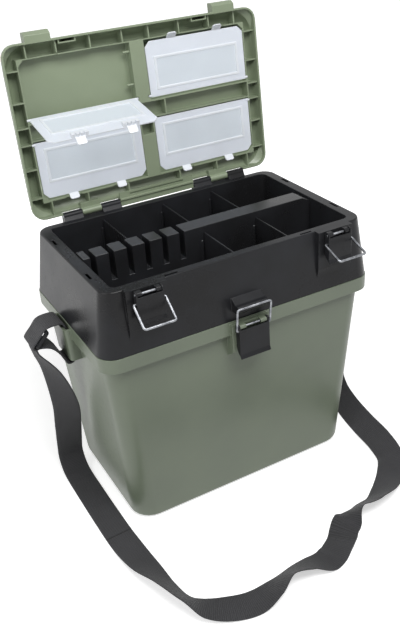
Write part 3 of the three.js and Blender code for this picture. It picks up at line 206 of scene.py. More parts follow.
# Steel
STEEL_CLOUDS = (160.0, 4.0, 0.6)
STEEL_SCRATCHES = (2400.0, 3.0, 0.7)
STEEL_ROUGHNESS = (0.32, 0.42)
SCRATCH_DEPTH = 0.003 * MM
SCRATCH_STRENGTH = 0.3

# Fuzz and wear of the webbing
FUZZ_NOISE = (1800.0, 3.0, 0.7)
WEAR_NOISE = (26.0, 4.0, 0.6)
WEBBING_ROUGHNESS = (0.72, 0.9)
WEBBING_SHEEN = 0.08
SHEEN_ROUGHNESS = 0.5

# The mix node's colour sockets go by number, because its value sockets share their names
MIX_COLOURS = (6, 7)
MIX_RESULT = 2

WHITE = (1.0, 1.0, 1.0, 1.0)


# Node helpers

class Nodes:
    """Adds shader nodes to a material or a world and joins them by socket name."""

    def __init__(self, owner):
        owner.use_nodes = True
        self.tree = owner.node_tree
        self.tree.nodes.clear()

    def fill(self, socket, value):
        """Joins a socket to another one, or gives it a constant."""
        if isinstance(value, bpy.types.NodeSocket):
            self.tree.links.new(value, socket)
        else:
            socket.default_value = value

    def add(self, kind, **inputs):
        node = self.tree.nodes.new(kind)
        for name, value in inputs.items():
            self.fill(node.inputs[name.replace("_", " ")], value)
        return node

    def math(self, operation, a, b=0.0):
        node = self.tree.nodes.new("ShaderNodeMath")
        node.operation = operation
        for socket, value in zip(node.inputs, (a, b)):
            self.fill(socket, value)
        return node.outputs[0]

    def noise(self, where, scale, detail=2.0, roughness=0.5):
        node = self.add("ShaderNodeTexNoise", Vector=where, Scale=scale, Detail=detail, Roughness=roughness)
        return node.outputs["Fac"]

    def span(self, value, low, high, to_low, to_high):
        """Spreads the values from low to high over another range."""
        node = self.add("ShaderNodeMapRange", Value=value, From_Min=low, From_Max=high, To_Min=to_low,
                        To_Max=to_high)
        return node.outputs["Result"]

    def mix(self, share, a, b):
        node = self.tree.nodes.new("ShaderNodeMix")
        node.data_type = "RGBA"
        self.fill(node.inputs["Factor"], share)
        for number, value in zip(MIX_COLOURS, (a, b)):
            self.fill(node.inputs[number], value)
        return node.outputs[MIX_RESULT]

    def bump(self, height, distance, strength, normal=None):
        node = self.add("ShaderNodeBump", Height=height, Distance=distance, Strength=strength)
        if normal is not None:
            self.fill(node.inputs["Normal"], normal)
        return node.outputs["Normal"]

    def ridges(self, value, pitch):
        """Rounded ridges between 0 and 1, one to each pitch."""
        return self.math("ABSOLUTE", self.math("SINE", self.math("MULTIPLY", value, math.pi / pitch)))

    def near(self, value, centre, reach):
        """1 where a value is less than the reach away from the centre."""
        return self.math("LESS_THAN", self.math("ABSOLUTE", self.math("SUBTRACT", value, centre)), reach)

    def background(self):
        """1 for the rays that find the white background: seen, mirrored or passed through."""
        path = self.add("ShaderNodeLightPath")
        mirrored = self.math("MAXIMUM", path.outputs["Is Glossy Ray"], path.outputs["Is Transmission Ray"])
        return self.math("MAXIMUM", path.outputs["Is Camera Ray"], mirrored)

    def surface(self, **inputs):
        shader = self.add("ShaderNodeBsdfPrincipled", **inputs)
        output = self.tree.nodes.new("ShaderNodeOutputMaterial")
        self.tree.links.new(shader.outputs["BSDF"], output.inputs["Surface"])
        return shader


def linear(red, green, blue):
    """A screen colour, 0 to 255, as the shader's linear one by the sRGB curve."""
    def one(value):
        share = value / 255
        return share / 12.92 if share <= 0.04045 else ((share + 0.055) / 1.055) ** 2.4
    return (one(red), one(green), one(blue), 1.0)


def new_finish(name):
    """A material, its node helper and the piece's own coordinates."""
    material = bpy.data.materials.new(name)
    nodes = Nodes(material)
    return material, nodes, nodes.add("ShaderNodeTexCoord").outputs["Object"]


def moulded(name, dark, light, roughness, specular, grain_scale, grain_depth, uneven_and_sheen_scale):
    """Injection-moulded plastic: fine grain, slow unevenness and faint scuffs; on the black, the slow
    unevenness toward a bluish lighter colour is also a painted sheen reflection.
    """
    material, nodes, where = new_finish(name)
    slow = nodes.noise(where, uneven_and_sheen_scale, *UNEVEN_AND_SHEEN_NOISE)
    fine = nodes.noise(where, grain_scale, *GRAIN_NOISE)
    scuffs = nodes.noise(where, grain_scale / SCUFF_COARSER, *SCUFF_NOISE)
    tone = nodes.math("ADD", slow, nodes.math("MULTIPLY", fine, GRAIN_TONE))
    smoothest = roughness - ROUGHNESS_SPREAD
    roughest = roughness + ROUGHNESS_SPREAD
    rough = nodes.math("ADD", nodes.span(slow, *MIDDLE_SPAN, smoothest, roughest),
                       nodes.span(scuffs, *SCUFF_SPAN, 0.0, SCUFF_ROUGHNESS))
    normal = nodes.bump(slow, UNEVEN_DEPTH, UNEVEN_STRENGTH)
    shader = nodes.surface(
        Base_Color=nodes.mix(nodes.span(tone, *TONE_SPAN, 0.0, 1.0), dark, light),
        Roughness=rough,
        Normal=nodes.bump(fine, grain_depth, FINE_STRENGTH, normal),
    )
    shader.inputs["Specular IOR Level"].default_value = specular
    return material


def worn_and_highlit_edge(name, colour, pale, roughness, specular):
    """The rounded edges of a moulding, paler here and there: rubbed wear and a painted highlight."""
    material, nodes, where = new_finish(name)
    # Painted highlight and wear: the edge colour turns paler where this noise is high
    worn_and_highlit = nodes.span(nodes.noise(where, *WORN_HIGHLIT_NOISE), *WORN_HIGHLIT_SPAN, WORN_HIGHLIT_LEAST, 1.0)
    shader = nodes.surface(
        Base_Color=nodes.mix(worn_and_highlit, colour, pale),
        Roughness=nodes.span(worn_and_highlit, 0.0, 1.0, roughness - RUB_ROUGHNESS, roughness + RUB_ROUGHNESS),
        Normal=nodes.bump(nodes.noise(where, RUB_GRAIN), RUB_DEPTH, FINE_STRENGTH),
    )
    shader.inputs["Specular IOR Level"].default_value = specular
    return material


def milky(name, colour, alpha):
    """Cloudy polypropylene: a soft inner glow, faint flow marks, and shadows that let most light through."""
    material, nodes, where = new_finish(name)
    flow = nodes.noise(where, *FLOW_NOISE)
    shaded = [channel * FLOW_SHADE for channel in colour[:3]] + [1.0]
    shadow_ray = nodes.add("ShaderNodeLightPath").outputs["Is Shadow Ray"]
    solid = nodes.span(flow, *MIDDLE_SPAN, alpha - FLOW_ALPHA, alpha + FLOW_ALPHA)
    shader = nodes.surface(
        Base_Color=nodes.mix(nodes.span(flow, *CLOUD_SPAN, 0.0, 1.0), colour, shaded),
        Roughness=nodes.span(flow, *MIDDLE_SPAN, *MILKY_ROUGHNESS),
        Alpha=nodes.math("SUBTRACT", solid, nodes.math("MULTIPLY", shadow_ray, SHADOW_PASSING)),
        Normal=nodes.bump(nodes.noise(where, MILKY_GRAIN), MILKY_DEPTH, FINE_STRENGTH),
    )
    shader.inputs["Subsurface Weight"].default_value = GLOW_WEIGHT
    shader.inputs["Subsurface Radius"].default_value = GLOW_COLOUR
    shader.inputs["Subsurface Scale"].default_value = GLOW_REACH
    return material


def plated_steel(name, dark, light):
    """Drawn and plated wire with fine scratches and slight clouding."""
    material, nodes, where = new_finish(name)
    cloud = nodes.noise(where, *STEEL_CLOUDS)
    scratch = nodes.noise(where, *STEEL_SCRATCHES)
    shader = nodes.surface(
        Base_Color=nodes.mix(nodes.span(cloud, *CLOUD_SPAN, 0.0, 1.0), dark, light),
        Roughness=nodes.span(cloud, *MIDDLE_SPAN, *STEEL_ROUGHNESS),
        Normal=nodes.bump(scratch, SCRATCH_DEPTH, SCRATCH_STRENGTH),
    )
    shader.inputs["Metallic"].default_value = 1.0
    return material


def woven(name, dark, light):
    """Ribbed webbing: cross ribs, warp threads and fuzz, placed by the band's own length and width, with
    painted light on the weave's higher parts and painted shade in its hollows, along the stitch rows and in
    the fold.
    """
    material, nodes, where = new_finish(name)
    band_place = nodes.add("ShaderNodeAttribute")
    band_place.attribute_name = "band"
    split = nodes.add("ShaderNodeSeparateXYZ", Vector=band_place.outputs["Vector"])
    along, across = split.outputs["X"], split.outputs["Y"]
    fuzz = nodes.noise(where, *FUZZ_NOISE)
    wear = nodes.noise(where, *WEAR_NOISE)
    height = nodes.math("ADD", nodes.math("MULTIPLY", nodes.ridges(along, WEAVE_PITCH), RIB_WEIGHT),
                        nodes.math("MULTIPLY", nodes.ridges(across, WARP_PITCH), WARP_WEIGHT))
    height = nodes.math("ADD", height, nodes.math("MULTIPLY", fuzz, FUZZ_WEIGHT))
    # Painted light and shade by the weave's height, lighter crests and darker hollows, plus worn patches
    tone = nodes.math("ADD", nodes.math("MULTIPLY", height, RIB_LIGHT_AND_SHADE),
                      nodes.math("MULTIPLY", wear, WEAR_TONE))
    folded, sewn = DOUBLED
    sewn_here = nodes.near(along, (sewn[0] + sewn[1]) / 2, (sewn[1] - sewn[0]) / 2)
    row = nodes.math("LESS_THAN", nodes.ridges(along, STITCH_PITCH), STITCH_SHARE)
    fold = nodes.near(along, folded[1], FOLD_REACH)
    groove = nodes.math("MAXIMUM", nodes.math("MULTIPLY", sewn_here, row), fold)
    colour = nodes.mix(nodes.span(tone, *WEAVE_SPAN, 0.0, 1.0), dark, light)
    shader = nodes.surface(
        # Painted shade along the stitch rows and in the fold
        Base_Color=nodes.mix(nodes.math("MULTIPLY", groove, GROOVE_SHADE), colour, dark),
        Roughness=nodes.span(fuzz, *MIDDLE_SPAN, *WEBBING_ROUGHNESS),
        Normal=nodes.bump(nodes.math("SUBTRACT", height, groove), WEAVE_DEPTH, WEAVE_STRENGTH),
    )
    shader.inputs["Sheen Weight"].default_value = WEBBING_SHEEN
    shader.inputs["Sheen Roughness"].default_value = SHEEN_ROUGHNESS
    return material


# Finishes, each with its darker and its lighter colour where it has two
GREEN_GLOSS = {"roughness": 0.36, "specular": 0.5}
GREEN_GRAIN = {"grain_scale": 1500.0, "grain_depth": 0.06 * MM, "uneven_and_sheen_scale": 9.0}
BIN_GREEN = moulded("bin_moulded", linear(93, 102, 86), linear(101, 110, 93), **GREEN_GLOSS, **GREEN_GRAIN)
# Edge finishes are paler than their mouldings: rubbed wear and a painted highlight along every rounded edge
BIN_EDGE = worn_and_highlit_edge("bin_edge", linear(100, 109, 92), linear(118, 126, 110), **GREEN_GLOSS)
# The lid is the bin's green plastic painted lighter, edges too: painted light for the stronger light falling
# on the lid
LID_GREEN_PAINTED_LIT = moulded("lid_moulded", linear(116, 127, 104), linear(125, 136, 113), **GREEN_GLOSS, **GREEN_GRAIN)
LID_EDGE_PAINTED_LIT = worn_and_highlit_edge("lid_edge", linear(126, 137, 114), linear(156, 164, 145), **GREEN_GLOSS)
# The black's slow patches toward its bluish lighter colour are uneven tone and a painted sheen reflection
BLACK_COLOURS = (linear(27, 27, 28), linear(37, 38, 41))
BLACK_ROUGHNESS = 0.3
BLACK_TONE_AND_SHEEN = 14.0
BLACK = moulded("black_moulded", *BLACK_COLOURS, BLACK_ROUGHNESS, specular=0.15, grain_scale=1300.0,
                grain_depth=0.04 * MM, uneven_and_sheen_scale=BLACK_TONE_AND_SHEEN)
RACK_BLACK = moulded("rack_moulded", *BLACK_COLOURS, BLACK_ROUGHNESS, specular=0.45, grain_scale=700.0,
                     grain_depth=0.01 * MM, uneven_and_sheen_scale=BLACK_TONE_AND_SHEEN)
# The black edges are painted paler too: rubbed wear and a painted highlight
BLACK_EDGE = worn_and_highlit_edge("black_edge", linear(34, 34, 36), linear(46, 46, 49), BLACK_ROUGHNESS, specular=0.3)
MILKY = milky("milky_cover", linear(210, 214, 219), alpha=0.96)
MILKY_RIM = milky("milky_rim", linear(208, 213, 221), alpha=0.93)
MILKY_PANEL = milky("milky_panel", linear(201, 208, 215), alpha=0.88)
STEEL = plated_steel("bright_steel", linear(100, 102, 106), linear(150, 152, 156))
WEBBING = woven("ribbed_webbing", linear(4, 4, 5), linear(50, 50, 53))


# Mesh helpers

def new_piece(name, mesh, materials):
    """An object at the origin with its mesh in place and its finishes in order."""
    obj = bpy.data.objects.new(name, mesh)
    bpy.context.scene.collection.objects.link(obj)
    mesh.materials.clear()
    for material in materials:
        mesh.materials.append(material)
    return obj


def settle(obj):
    """Keeps the evaluated shape as the mesh and drops the modifiers."""
    bpy.context.view_layer.update()
    graph = bpy.context.evaluated_depsgraph_get()
    mesh = bpy.data.meshes.new_from_object(obj.evaluated_get(graph))
    obj.modifiers.clear()
    old = obj.data
    obj.data = mesh
    bpy.data.meshes.remove(old)
    return obj


def smooth(obj, angle):
    """Shades a piece smooth, but for the edges above an angle in degrees."""
    for polygon in obj.data.polygons:
        polygon.use_smooth = True
    obj.data.set_sharp_from_angle(angle=math.radians(angle))


def mesh_of(name, bm):
    """The finished mesh of a bmesh, which is freed."""
    mesh = bpy.data.meshes.new(name)
    bm.to_mesh(mesh)
    bm.free()
    return mesh


# Edges above the first angle are rounded, those below the last two are taken for flat and for smooth
SHARP = math.radians(24)
FLAT = math.radians(1.2)
CREASE = math.radians(2.5)

# Merging before the rounding, and the angle in degrees above which an edge stays hard after it
MERGE_DISTANCE = 0.01 * MM
MERGE_ANGLE = math.radians(0.3)
HARD_ANGLE = 50

# Steps of a rounded form: how parallel, how far apart and how alike in bend they are
PARALLEL = 0.97
ARC_STRIP = 16 * MM
BEND_RATIOS = (0.4, 2.5)
NO_LENGTH = 1e-7

# Share of the room beside an edge that its rounding may take, and the room that its own length counts for
ROOM_SHARE = 0.33
LENGTH_SHARE = 1.5

# Where roundings cross, the edges near by are eased by these factors, in ever wider reach
BEVEL_EASING = (0.4, 0.3, 0.0, 0.0, 0.0, 0.0)
CROSSING_AREA = 0.05 * MM * MM
CROSSING_REACH = 1.5


def part_of_arc(edge):
    """Whether an edge is one of the steps of a rounded form, so that it must stay smooth."""
    angle = edge.calc_face_angle_signed()
    start, end = (v.co for v in edge.verts)
    line = (end - start).normalized()
    middle = (start + end) / 2
    near = set()
    for face in edge.link_faces:
        for side in face.edges:
            near.add(side)
            if side is not edge and len(side.link_faces) == 2 and side.calc_face_angle() < FLAT:
                near.update(e for other in side.link_faces for e in other.edges)
    near.discard(edge)
    for other in near:
        if len(other.link_faces) != 2:
            continue
        run = other.verts[1].co - other.verts[0].co
        if run.length < NO_LENGTH or abs(run.normalized().dot(line)) < PARALLEL:
            continue
        away = (other.verts[0].co + other.verts[1].co) / 2 - middle
        if (away - line * away.dot(line)).length > ARC_STRIP:
            continue
        bend = other.calc_face_angle_signed()
        if bend * angle > 0 and BEND_RATIOS[0] < bend / angle < BEND_RATIOS[1]:
            return True
    return False


def crease(obj, angle):
    """Marks the edges that are left sharper than an angle in degrees."""
    bm = bmesh.new()
    bm.from_mesh(obj.data)
    for face in bm.faces:
        face.smooth = True
    for edge in bm.edges:
        if len(edge.link_faces) == 2 and edge.calc_face_angle() > math.radians(angle):
            edge.smooth = False
    bm.to_mesh(obj.data)
    bm.free()


def distance_to(edge, point):
    """How far a point is from an edge."""
    start, end = (v.co for v in edge.verts)
    line = end - start
    away = point - start
    share = min(max(away.dot(line) / line.length_squared, 0.0), 1.0)
    return (away - line * share).length


def room_beside(edge):
    """How far an edge's faces leave it free, by their other corners and by the lengths of its neighbours."""
    near = [e.calc_length() for v in edge.verts for e in v.link_edges if e is not edge]
    near += [distance_to(edge, corner.co) for face in edge.link_faces for corner in face.verts
             if corner not in edge.verts]
    return min(near + [edge.calc_length() * LENGTH_SHARE])


def crossings(mesh):
    """Corners of the triangles that a bevel has turned over, where it ran past a neighbour."""
    mesh.calc_loop_triangles()
    return [mesh.vertices[index].co.copy() for triangle in mesh.loop_triangles
            if triangle.area > CROSSING_AREA
            and triangle.normal.dot(mesh.polygons[triangle.polygon_index].normal) < 0
            for index in triangle.vertices]


def bevelled(name, bm, width, segments, slot):
    """An object of a mesh with its weighted edges rounded."""
    mesh = bpy.data.meshes.new(name)
    bm.to_mesh(mesh)
    obj = bpy.data.objects.new(name, mesh)
    bpy.context.scene.collection.objects.link(obj)
    bevel = obj.modifiers.new("edge", "BEVEL")
    bevel.limit_method = "WEIGHT"
    bevel.width = width
    bevel.segments = segments
    bevel.use_clamp_overlap = False
    bevel.material = slot
    bevel.miter_outer = "MITER_SHARP"
    return settle(obj)


def rounded(node, name, materials, width, segments=2):
    """A copy of a rigid node with its sharp edges rounded, each no wider than its neighbours allow."""
    bm = bmesh.new()
    bm.from_mesh(frame["nodes"][node].data)
    bmesh.ops.remove_doubles(bm, verts=bm.verts, dist=MERGE_DISTANCE)
    bmesh.ops.dissolve_limit(bm, angle_limit=MERGE_ANGLE, verts=bm.verts, edges=bm.edges)
    weight = bm.edges.layers.float.new("bevel_weight_edge")
    for edge in bm.edges:
        edge.smooth = True
        if len(edge.link_faces) != 2:
            continue
        angle = edge.calc_face_angle()
        if angle > SHARP:
            edge[weight] = min(1.0, room_beside(edge) * ROOM_SHARE / width)
        elif angle > CREASE and not part_of_arc(edge):
            edge.smooth = False
    obj = bevelled(name, bm, width, segments, len(materials) - 1)
    for attempt, easing in enumerate(BEVEL_EASING):
        crossed = crossings(obj.data)
        near = [edge for edge in bm.edges if edge[weight] > 0
                and any(distance_to(edge, corner) < width * (attempt + CROSSING_REACH) for corner in crossed)]
        if not near:
            break
        for edge in near:
            edge[weight] *= easing
        bpy.data.meshes.remove(obj.data)
        obj = bevelled(name, bm, width, segments, len(materials) - 1)
    bm.free()
    for material in materials:
        obj.data.materials.append(material)
    crease(obj, HARD_ANGLE)
    normals = obj.modifiers.new("normals", "WEIGHTED_NORMAL")
    normals.keep_sharp = True
    return settle(obj)


# Wires and pins: sides of their rounds and the angle in degrees above which an edge stays hard. A pin's rim
# is a share of its radius, and the rim's first step a share of the rim
WIRE_SIDES = 20
WIRE_HARD = 50
PIN_SIDES = 28
PIN_HARD = 60
PIN_RIM = 0.3
PIN_RIM_STEP = 0.3


def skin(bm, rings, closed=False):
    """Joins rings of corners to a tube, with flat ends unless it is closed."""
    size = len(rings[0])
    pairs = list(zip(rings, rings[1:])) + ([(rings[-1], rings[0])] if closed else [])
    for a, b in pairs:
        for k in range(size):
            bm.faces.new((a[k], a[(k + 1) % size], b[(k + 1) % size], b[k]))
    if not closed:
        bm.faces.new(list(reversed(rings[0])))
        bm.faces.new(rings[-1])
    bmesh.ops.recalc_face_normals(bm, faces=bm.faces)


def round_points(sides):
    """The cosine and sine of each corner of a round."""
    angles = [2 * math.pi * k / sides for k in range(sides)]
    return [(math.cos(angle), math.sin(angle)) for angle in angles]


def tube(name, points, radius, materials):
    """A round wire along points, with flat ends."""
    count = len(points)
    tangents = [(points[min(i + 1, count - 1)] - points[max(i - 1, 0)]).normalized() for i in range(count)]
    normal = tangents[0].orthogonal().normalized()
    bm = bmesh.new()
    rings = []
    for point, tangent in zip(points, tangents):
        normal = (normal - tangent * normal.dot(tangent)).normalized()
        other = tangent.cross(normal)
        rings.append([bm.verts.new(point + (normal * u + other * v) * radius)
                      for u, v in round_points(WIRE_SIDES)])
    skin(bm, rings)
    obj = new_piece(name, mesh_of(name, bm), materials)
    smooth(obj, WIRE_HARD)
    return obj


def arcs(corners, radii, steps):
    """Points along straight runs that are joined by arcs of the given radii."""
    points = [corners[0]]
    for corner, before, after, radius in zip(corners[1:-1], corners, corners[2:], radii):
        back = (before - corner).normalized()
        ahead = (after - corner).normalized()
        centre = corner + (back + ahead) * radius
        for k in range(steps + 1):
            angle = math.pi / 2 * k / steps
            points.append(centre - ahead * radius * math.cos(angle) - back * radius * math.sin(angle))
    points.append(corners[-1])
    return points


def turned_pin(name, node, radius, materials):
    """A pin along X between the ends of its node, with small domed rims."""
    low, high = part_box(node)
    middle = (low + high) / 2
    rim = radius * PIN_RIM
    step = rim * PIN_RIM_STEP
    bm = bmesh.new()
    stations = [(low.x, radius - rim), (low.x + step, radius - step), (low.x + rim, radius),
                (high.x - rim, radius), (high.x - step, radius - step), (high.x, radius - rim)]
    rings = [[bm.verts.new((x, middle.y + r * u, middle.z + r * v)) for u, v in round_points(PIN_SIDES)]
             for x, r in stations]
    skin(bm, rings)
    obj = new_piece(name, mesh_of(name, bm), materials)
    smooth(obj, PIN_HARD)
    return obj


# Curves: points to each row, fewest sections, the share of the curve to each side of a tangent, and the
# smallest spans that are divided by
ROUTE_DENSITY = 24
FEWEST_SECTIONS = 8
TANGENT_SHARE = 1e-4
LEAST_SPAN = 1e-9
LEAST_STEP = 1e-12


def spline(rows, t, closed=False):
    """The point at share t of a centripetal curve through rows of three numbers."""
    count = len(rows)
    spans = count if closed else count - 1
    position = min(max(t, 0.0), 1.0) * spans
    i = min(int(position), spans - 1)
    local = position - i

    def row(k):
        if closed:
            return Vector(rows[k % count])
        if k < 0:
            return Vector(rows[0]) * 2 - Vector(rows[1])
        if k >= count:
            return Vector(rows[-1]) * 2 - Vector(rows[-2])
        return Vector(rows[k])
    p0, p1, p2, p3 = (row(i + k) for k in (-1, 0, 1, 2))
    d0, d1, d2 = (max((b - a).length, LEAST_SPAN) ** 0.5 for a, b in ((p0, p1), (p1, p2), (p2, p3)))
    m1 = ((p1 - p0) / d0 - (p2 - p0) / (d0 + d1) + (p2 - p1) / d1) * d1
    m2 = ((p2 - p1) / d1 - (p3 - p1) / (d1 + d2) + (p3 - p2) / d2) * d1
    a, b = local * local, local * local * local
    return p1 * (2 * b - 3 * a + 1) + m1 * (b - 2 * a + local) + p2 * (3 * a - 2 * b) + m2 * (b - a)


def band_sections(rows, step, closed=False):
    """Centre, width direction, normal and place along a band at about every step, then its whole length."""
    centres = [row[:3] for row in rows]
    widths = [row[3:] for row in rows]
    dense = len(rows) * ROUTE_DENSITY
    shares = [i / dense for i in range(dense + 1)]
    points = [spline(centres, t, closed) for t in shares]
    lengths = [0.0]
    for a, b in zip(points, points[1:]):
        lengths.append(lengths[-1] + (b - a).length)
    total = lengths[-1]
    count = max(FEWEST_SECTIONS, round(total / step))
    sections = []
    k = 0
    for i in range(count + (0 if closed else 1)):
        want = total * i / count
        while k + 1 < dense and lengths[k + 1] < want:
            k += 1
        t = shares[k] + (want - lengths[k]) / max(lengths[k + 1] - lengths[k], LEAST_STEP) / dense
        centre = spline(centres, t, closed)
        tangent = (spline(centres, min(t + TANGENT_SHARE, 1.0), closed)
                   - spline(centres, max(t - TANGENT_SHARE, 0.0), closed)).normalized()
        across = spline(widths, t, closed)
        across = (across - tangent * across.dot(tangent)).normalized()
        sections.append([centre, across, tangent.cross(across), want])
    return sections, total


# Half outline of the webbing's section, as shares of its half width and half thickness, and the angle in
# degrees above which its edges stay hard
BAND_OUTLINE_SHARES = [
    (-1, 0), (-0.985, 0.6), (-0.94, 1), (-0.7, 1), (-0.45, 1), (-0.2, 1), (0.05, 1), (0.3, 1), (0.55, 1),
    (0.8, 1), (0.94, 1), (0.985, 0.6),
]
BAND_HARD = 60


def band(name, rows, step, materials, closed=False, floor=True):
    """A flat woven band along rows of centre and width direction, with rounded selvedges.

    One that lies on the floor is kept above it, and is thinner where it isn't doubled.
    """
    scaled = [[v * MM for v in row[:3]] + list(row[3:]) for row in rows]
    sections, total = band_sections(scaled, step, closed)
    outline = BAND_OUTLINE_SHARES + [(-u, -v) for u, v in BAND_OUTLINE_SHARES]
    bm = bmesh.new()
    facts = []
    rings = []
    for centre, across, normal, along in sections:
        half = STRAP_THICKNESS / 2
        if floor:
            reach = abs(across.z) * STRAP_WIDTH / 2 + abs(normal.z) * half
            centre.z = max(centre.z, reach)
            if not any(first <= along <= last for first, last in DOUBLED):
                half *= SINGLE_SHARE
        ring = []
        for u, v in outline:
            ring.append(bm.verts.new(centre + across * u * STRAP_WIDTH / 2 + normal * v * half))
            facts.append((along, u * STRAP_WIDTH / 2, v))
        rings.append(ring)
    skin(bm, rings, closed)
    mesh = mesh_of(name, bm)
    attribute = mesh.attributes.new("band", "FLOAT_VECTOR", "POINT")
    for item, fact in zip(attribute.data, facts):
        item.vector = fact
    obj = new_piece(name, mesh, materials)
    smooth(obj, BAND_HARD)
    return obj, [s[0].copy() for s in sections], total


def place(obj, body, slot, *nodes):
    """Hides the nodes that a finished piece stands for and ties the piece to its body. The slot is not used.
    """
    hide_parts(*nodes)
    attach(obj, body)


def body_of(node):
    """The moving body that a node belongs to."""
    return frame["nodes"][node]["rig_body"]


# Camera

def make_camera():
    """The photograph's camera, with its roll, as fitted to the box's edges."""
    azimuth, elevation, roll = (math.radians(v) for v in (CAMERA_AZIMUTH, CAMERA_ELEVATION, CAMERA_ROLL))
    back = Vector((math.sin(azimuth) * math.cos(elevation), -math.cos(azimuth) * math.cos(elevation),
                   math.sin(elevation)))
    level = Vector((math.cos(azimuth), math.sin(azimuth), 0))
    above = back.cross(level)
    right = level * math.cos(roll) + above * math.sin(roll)
    up = above * math.cos(roll) - level * math.sin(roll)
    data = bpy.data.cameras.new("camera")
    data.sensor_fit = "VERTICAL"
    data.sensor_height = SENSOR_HEIGHT
    data.lens = FOCAL_PX / FRAME_HEIGHT_PX * SENSOR_HEIGHT
    camera = bpy.data.objects.new("camera", data)
    bpy.context.scene.collection.objects.link(camera)
    turn = Matrix((right, up, back)).transposed()
    camera.matrix_world = Matrix.Translation(Vector(CAMERA_TARGET) + back * CAMERA_DISTANCE) @ turn.to_4x4()
    bpy.context.scene.camera = camera


make_camera()


# Webbing, with its sliders' edges rounded in more steps than the others

SLIDER_SEGMENTS = 3


def dress_strap():
    """The strap and, on each side, the loop through the bracket and the slider that joins them."""
    strap, line, length = band("strap_webbing", STRAP_ROUTE, STRAP_STEP, [WEBBING])
    place(strap, "bin", "webbing", "shoulder_strap")
    loops = []
    for name, side in (("left", -1), ("right", 1)):
        rows = [[side * x, BRACKET_Y / MM, z, 0, side, 0] for x, z in LOOP_ROUTE]
        loop, _, _ = band(f"{name}_loop_webbing", rows, LOOP_STEP, [WEBBING], closed=True, floor=False)
        place(loop, "bin", "webbing", f"{name}_strap_loop")
        slider = rounded(f"{name}_strap_slider", f"{name}_slider", [BLACK], EDGE_WIDTH["slider"],
                         SLIDER_SEGMENTS)
        place(slider, "bin", "black_plastic", f"{name}_strap_slider")
        loops += [loop, slider]


dress_strap()


# Mouldings

LATCHES = ("left", "right", "centre")


def dress_mouldings():
    """The bin, the lid and every black moulding but the sliders, with rounded edges."""
    for node, finishes in (("lower_bin", [BIN_GREEN, BIN_EDGE]), ("lid", [LID_GREEN_PAINTED_LIT, LID_EDGE_PAINTED_LIT])):
        shell = rounded(node, f"{node}_shell", finishes, EDGE_WIDTH[node])
        place(shell, body_of(node), "green_plastic", node)
    black_nodes = [("rod_rack", "rod_rack", RACK_BLACK), ("upper_tray", "upper_tray", BLACK)]
    black_nodes += [(f"rear_divider_{i}", "divider", BLACK) for i in (1, 2, 3)]
    black_nodes += [(f"front_divider_{i}", "divider", BLACK) for i in (1, 2)]
    black_nodes += [(f"{name}_latch_lever", "lever", BLACK) for name in LATCHES]
    for node, kind, finish in black_nodes:
        moulding = rounded(node, f"{node}_moulding", [finish, BLACK_EDGE], EDGE_WIDTH[kind])
        place(moulding, body_of(node), "black_plastic", node)


dress_mouldings()


# A cover's clear panel is a rectangle larger than the first area, and its plain rim lies level with any other
# flat larger than the second, in square metres
PANEL_AREA = 0.004
RIM_AREA = 0.0008
LEVEL = 0.05 * MM
SAME_WAY = 0.9999
RIM_SLOT = 1
PANEL_SLOT = 2


def finish_cover(mesh):
    """Gives the clear panel and the plain rim of a cover their own finishes."""
    panels = {p.index for p in mesh.polygons if len(p.vertices) == 4 and p.area > PANEL_AREA}
    rims = [p for p in mesh.polygons if p.area > RIM_AREA and p.index not in panels]
    planes = [(p.normal.copy(), p.center.dot(p.normal)) for p in rims]
    for polygon in mesh.polygons:
        if polygon.index in panels:
            polygon.material_index = PANEL_SLOT
        elif any(polygon.normal.dot(normal) > SAME_WAY and abs(polygon.center.dot(normal) - level) < LEVEL
                 for normal, level in planes):
            polygon.material_index = RIM_SLOT


def dress_covers():
    """The four milky pocket covers."""
    for row in ("upper", "lower"):
        for side in ("left", "right"):
            node = f"{row}_{side}_pocket_cover"
            cover = rounded(node, f"{row}_{side}_cover", [MILKY], EDGE_WIDTH["cover"])
            cover.data.materials.append(MILKY_RIM)
            cover.data.materials.append(MILKY_PANEL)
            finish_cover(cover.data)
            place(cover, body_of(node), "milky_plastic", node)


dress_covers()


# Steel

HINGE_PIN_RADIUS = 2 * MM
LATCH_PIN_RADIUS = 1.5 * MM


def dress_pins():
    """The pins of the hinges and of the latches."""
    pins = [(f"{side}_{kind}_hinge_pin", HINGE_PIN_RADIUS)
            for side in ("left", "right") for kind in ("lid", "tray")]
    pins += [(f"{name}_latch_pin", LATCH_PIN_RADIUS) for name in LATCHES]
    for node, radius in pins:
        place(turned_pin(f"{node}_steel", node, radius, [STEEL]), body_of(node), "steel", node)


dress_pins()


# Bails: wire, reach and corners, then for each its half width, half the gap between its feet, its middle
# along X and the angle in degrees at which it stands
WIRE_RADIUS = 1.5 * MM
BAIL_REACH = 31 * MM
BAIL_CORNER = 3 * MM
FOOT_CORNER_SHARE = 0.6
CORNER_STEPS = 8
BAILS = {
    "left": (19.6 * MM, 15.3 * MM, -128.5 * MM, -38.5),
    "right": (19.6 * MM, 15.3 * MM, 128.5 * MM, -20.4),
    "centre": (23.3 * MM, 19.5 * MM, 0.0, 83.6),
}


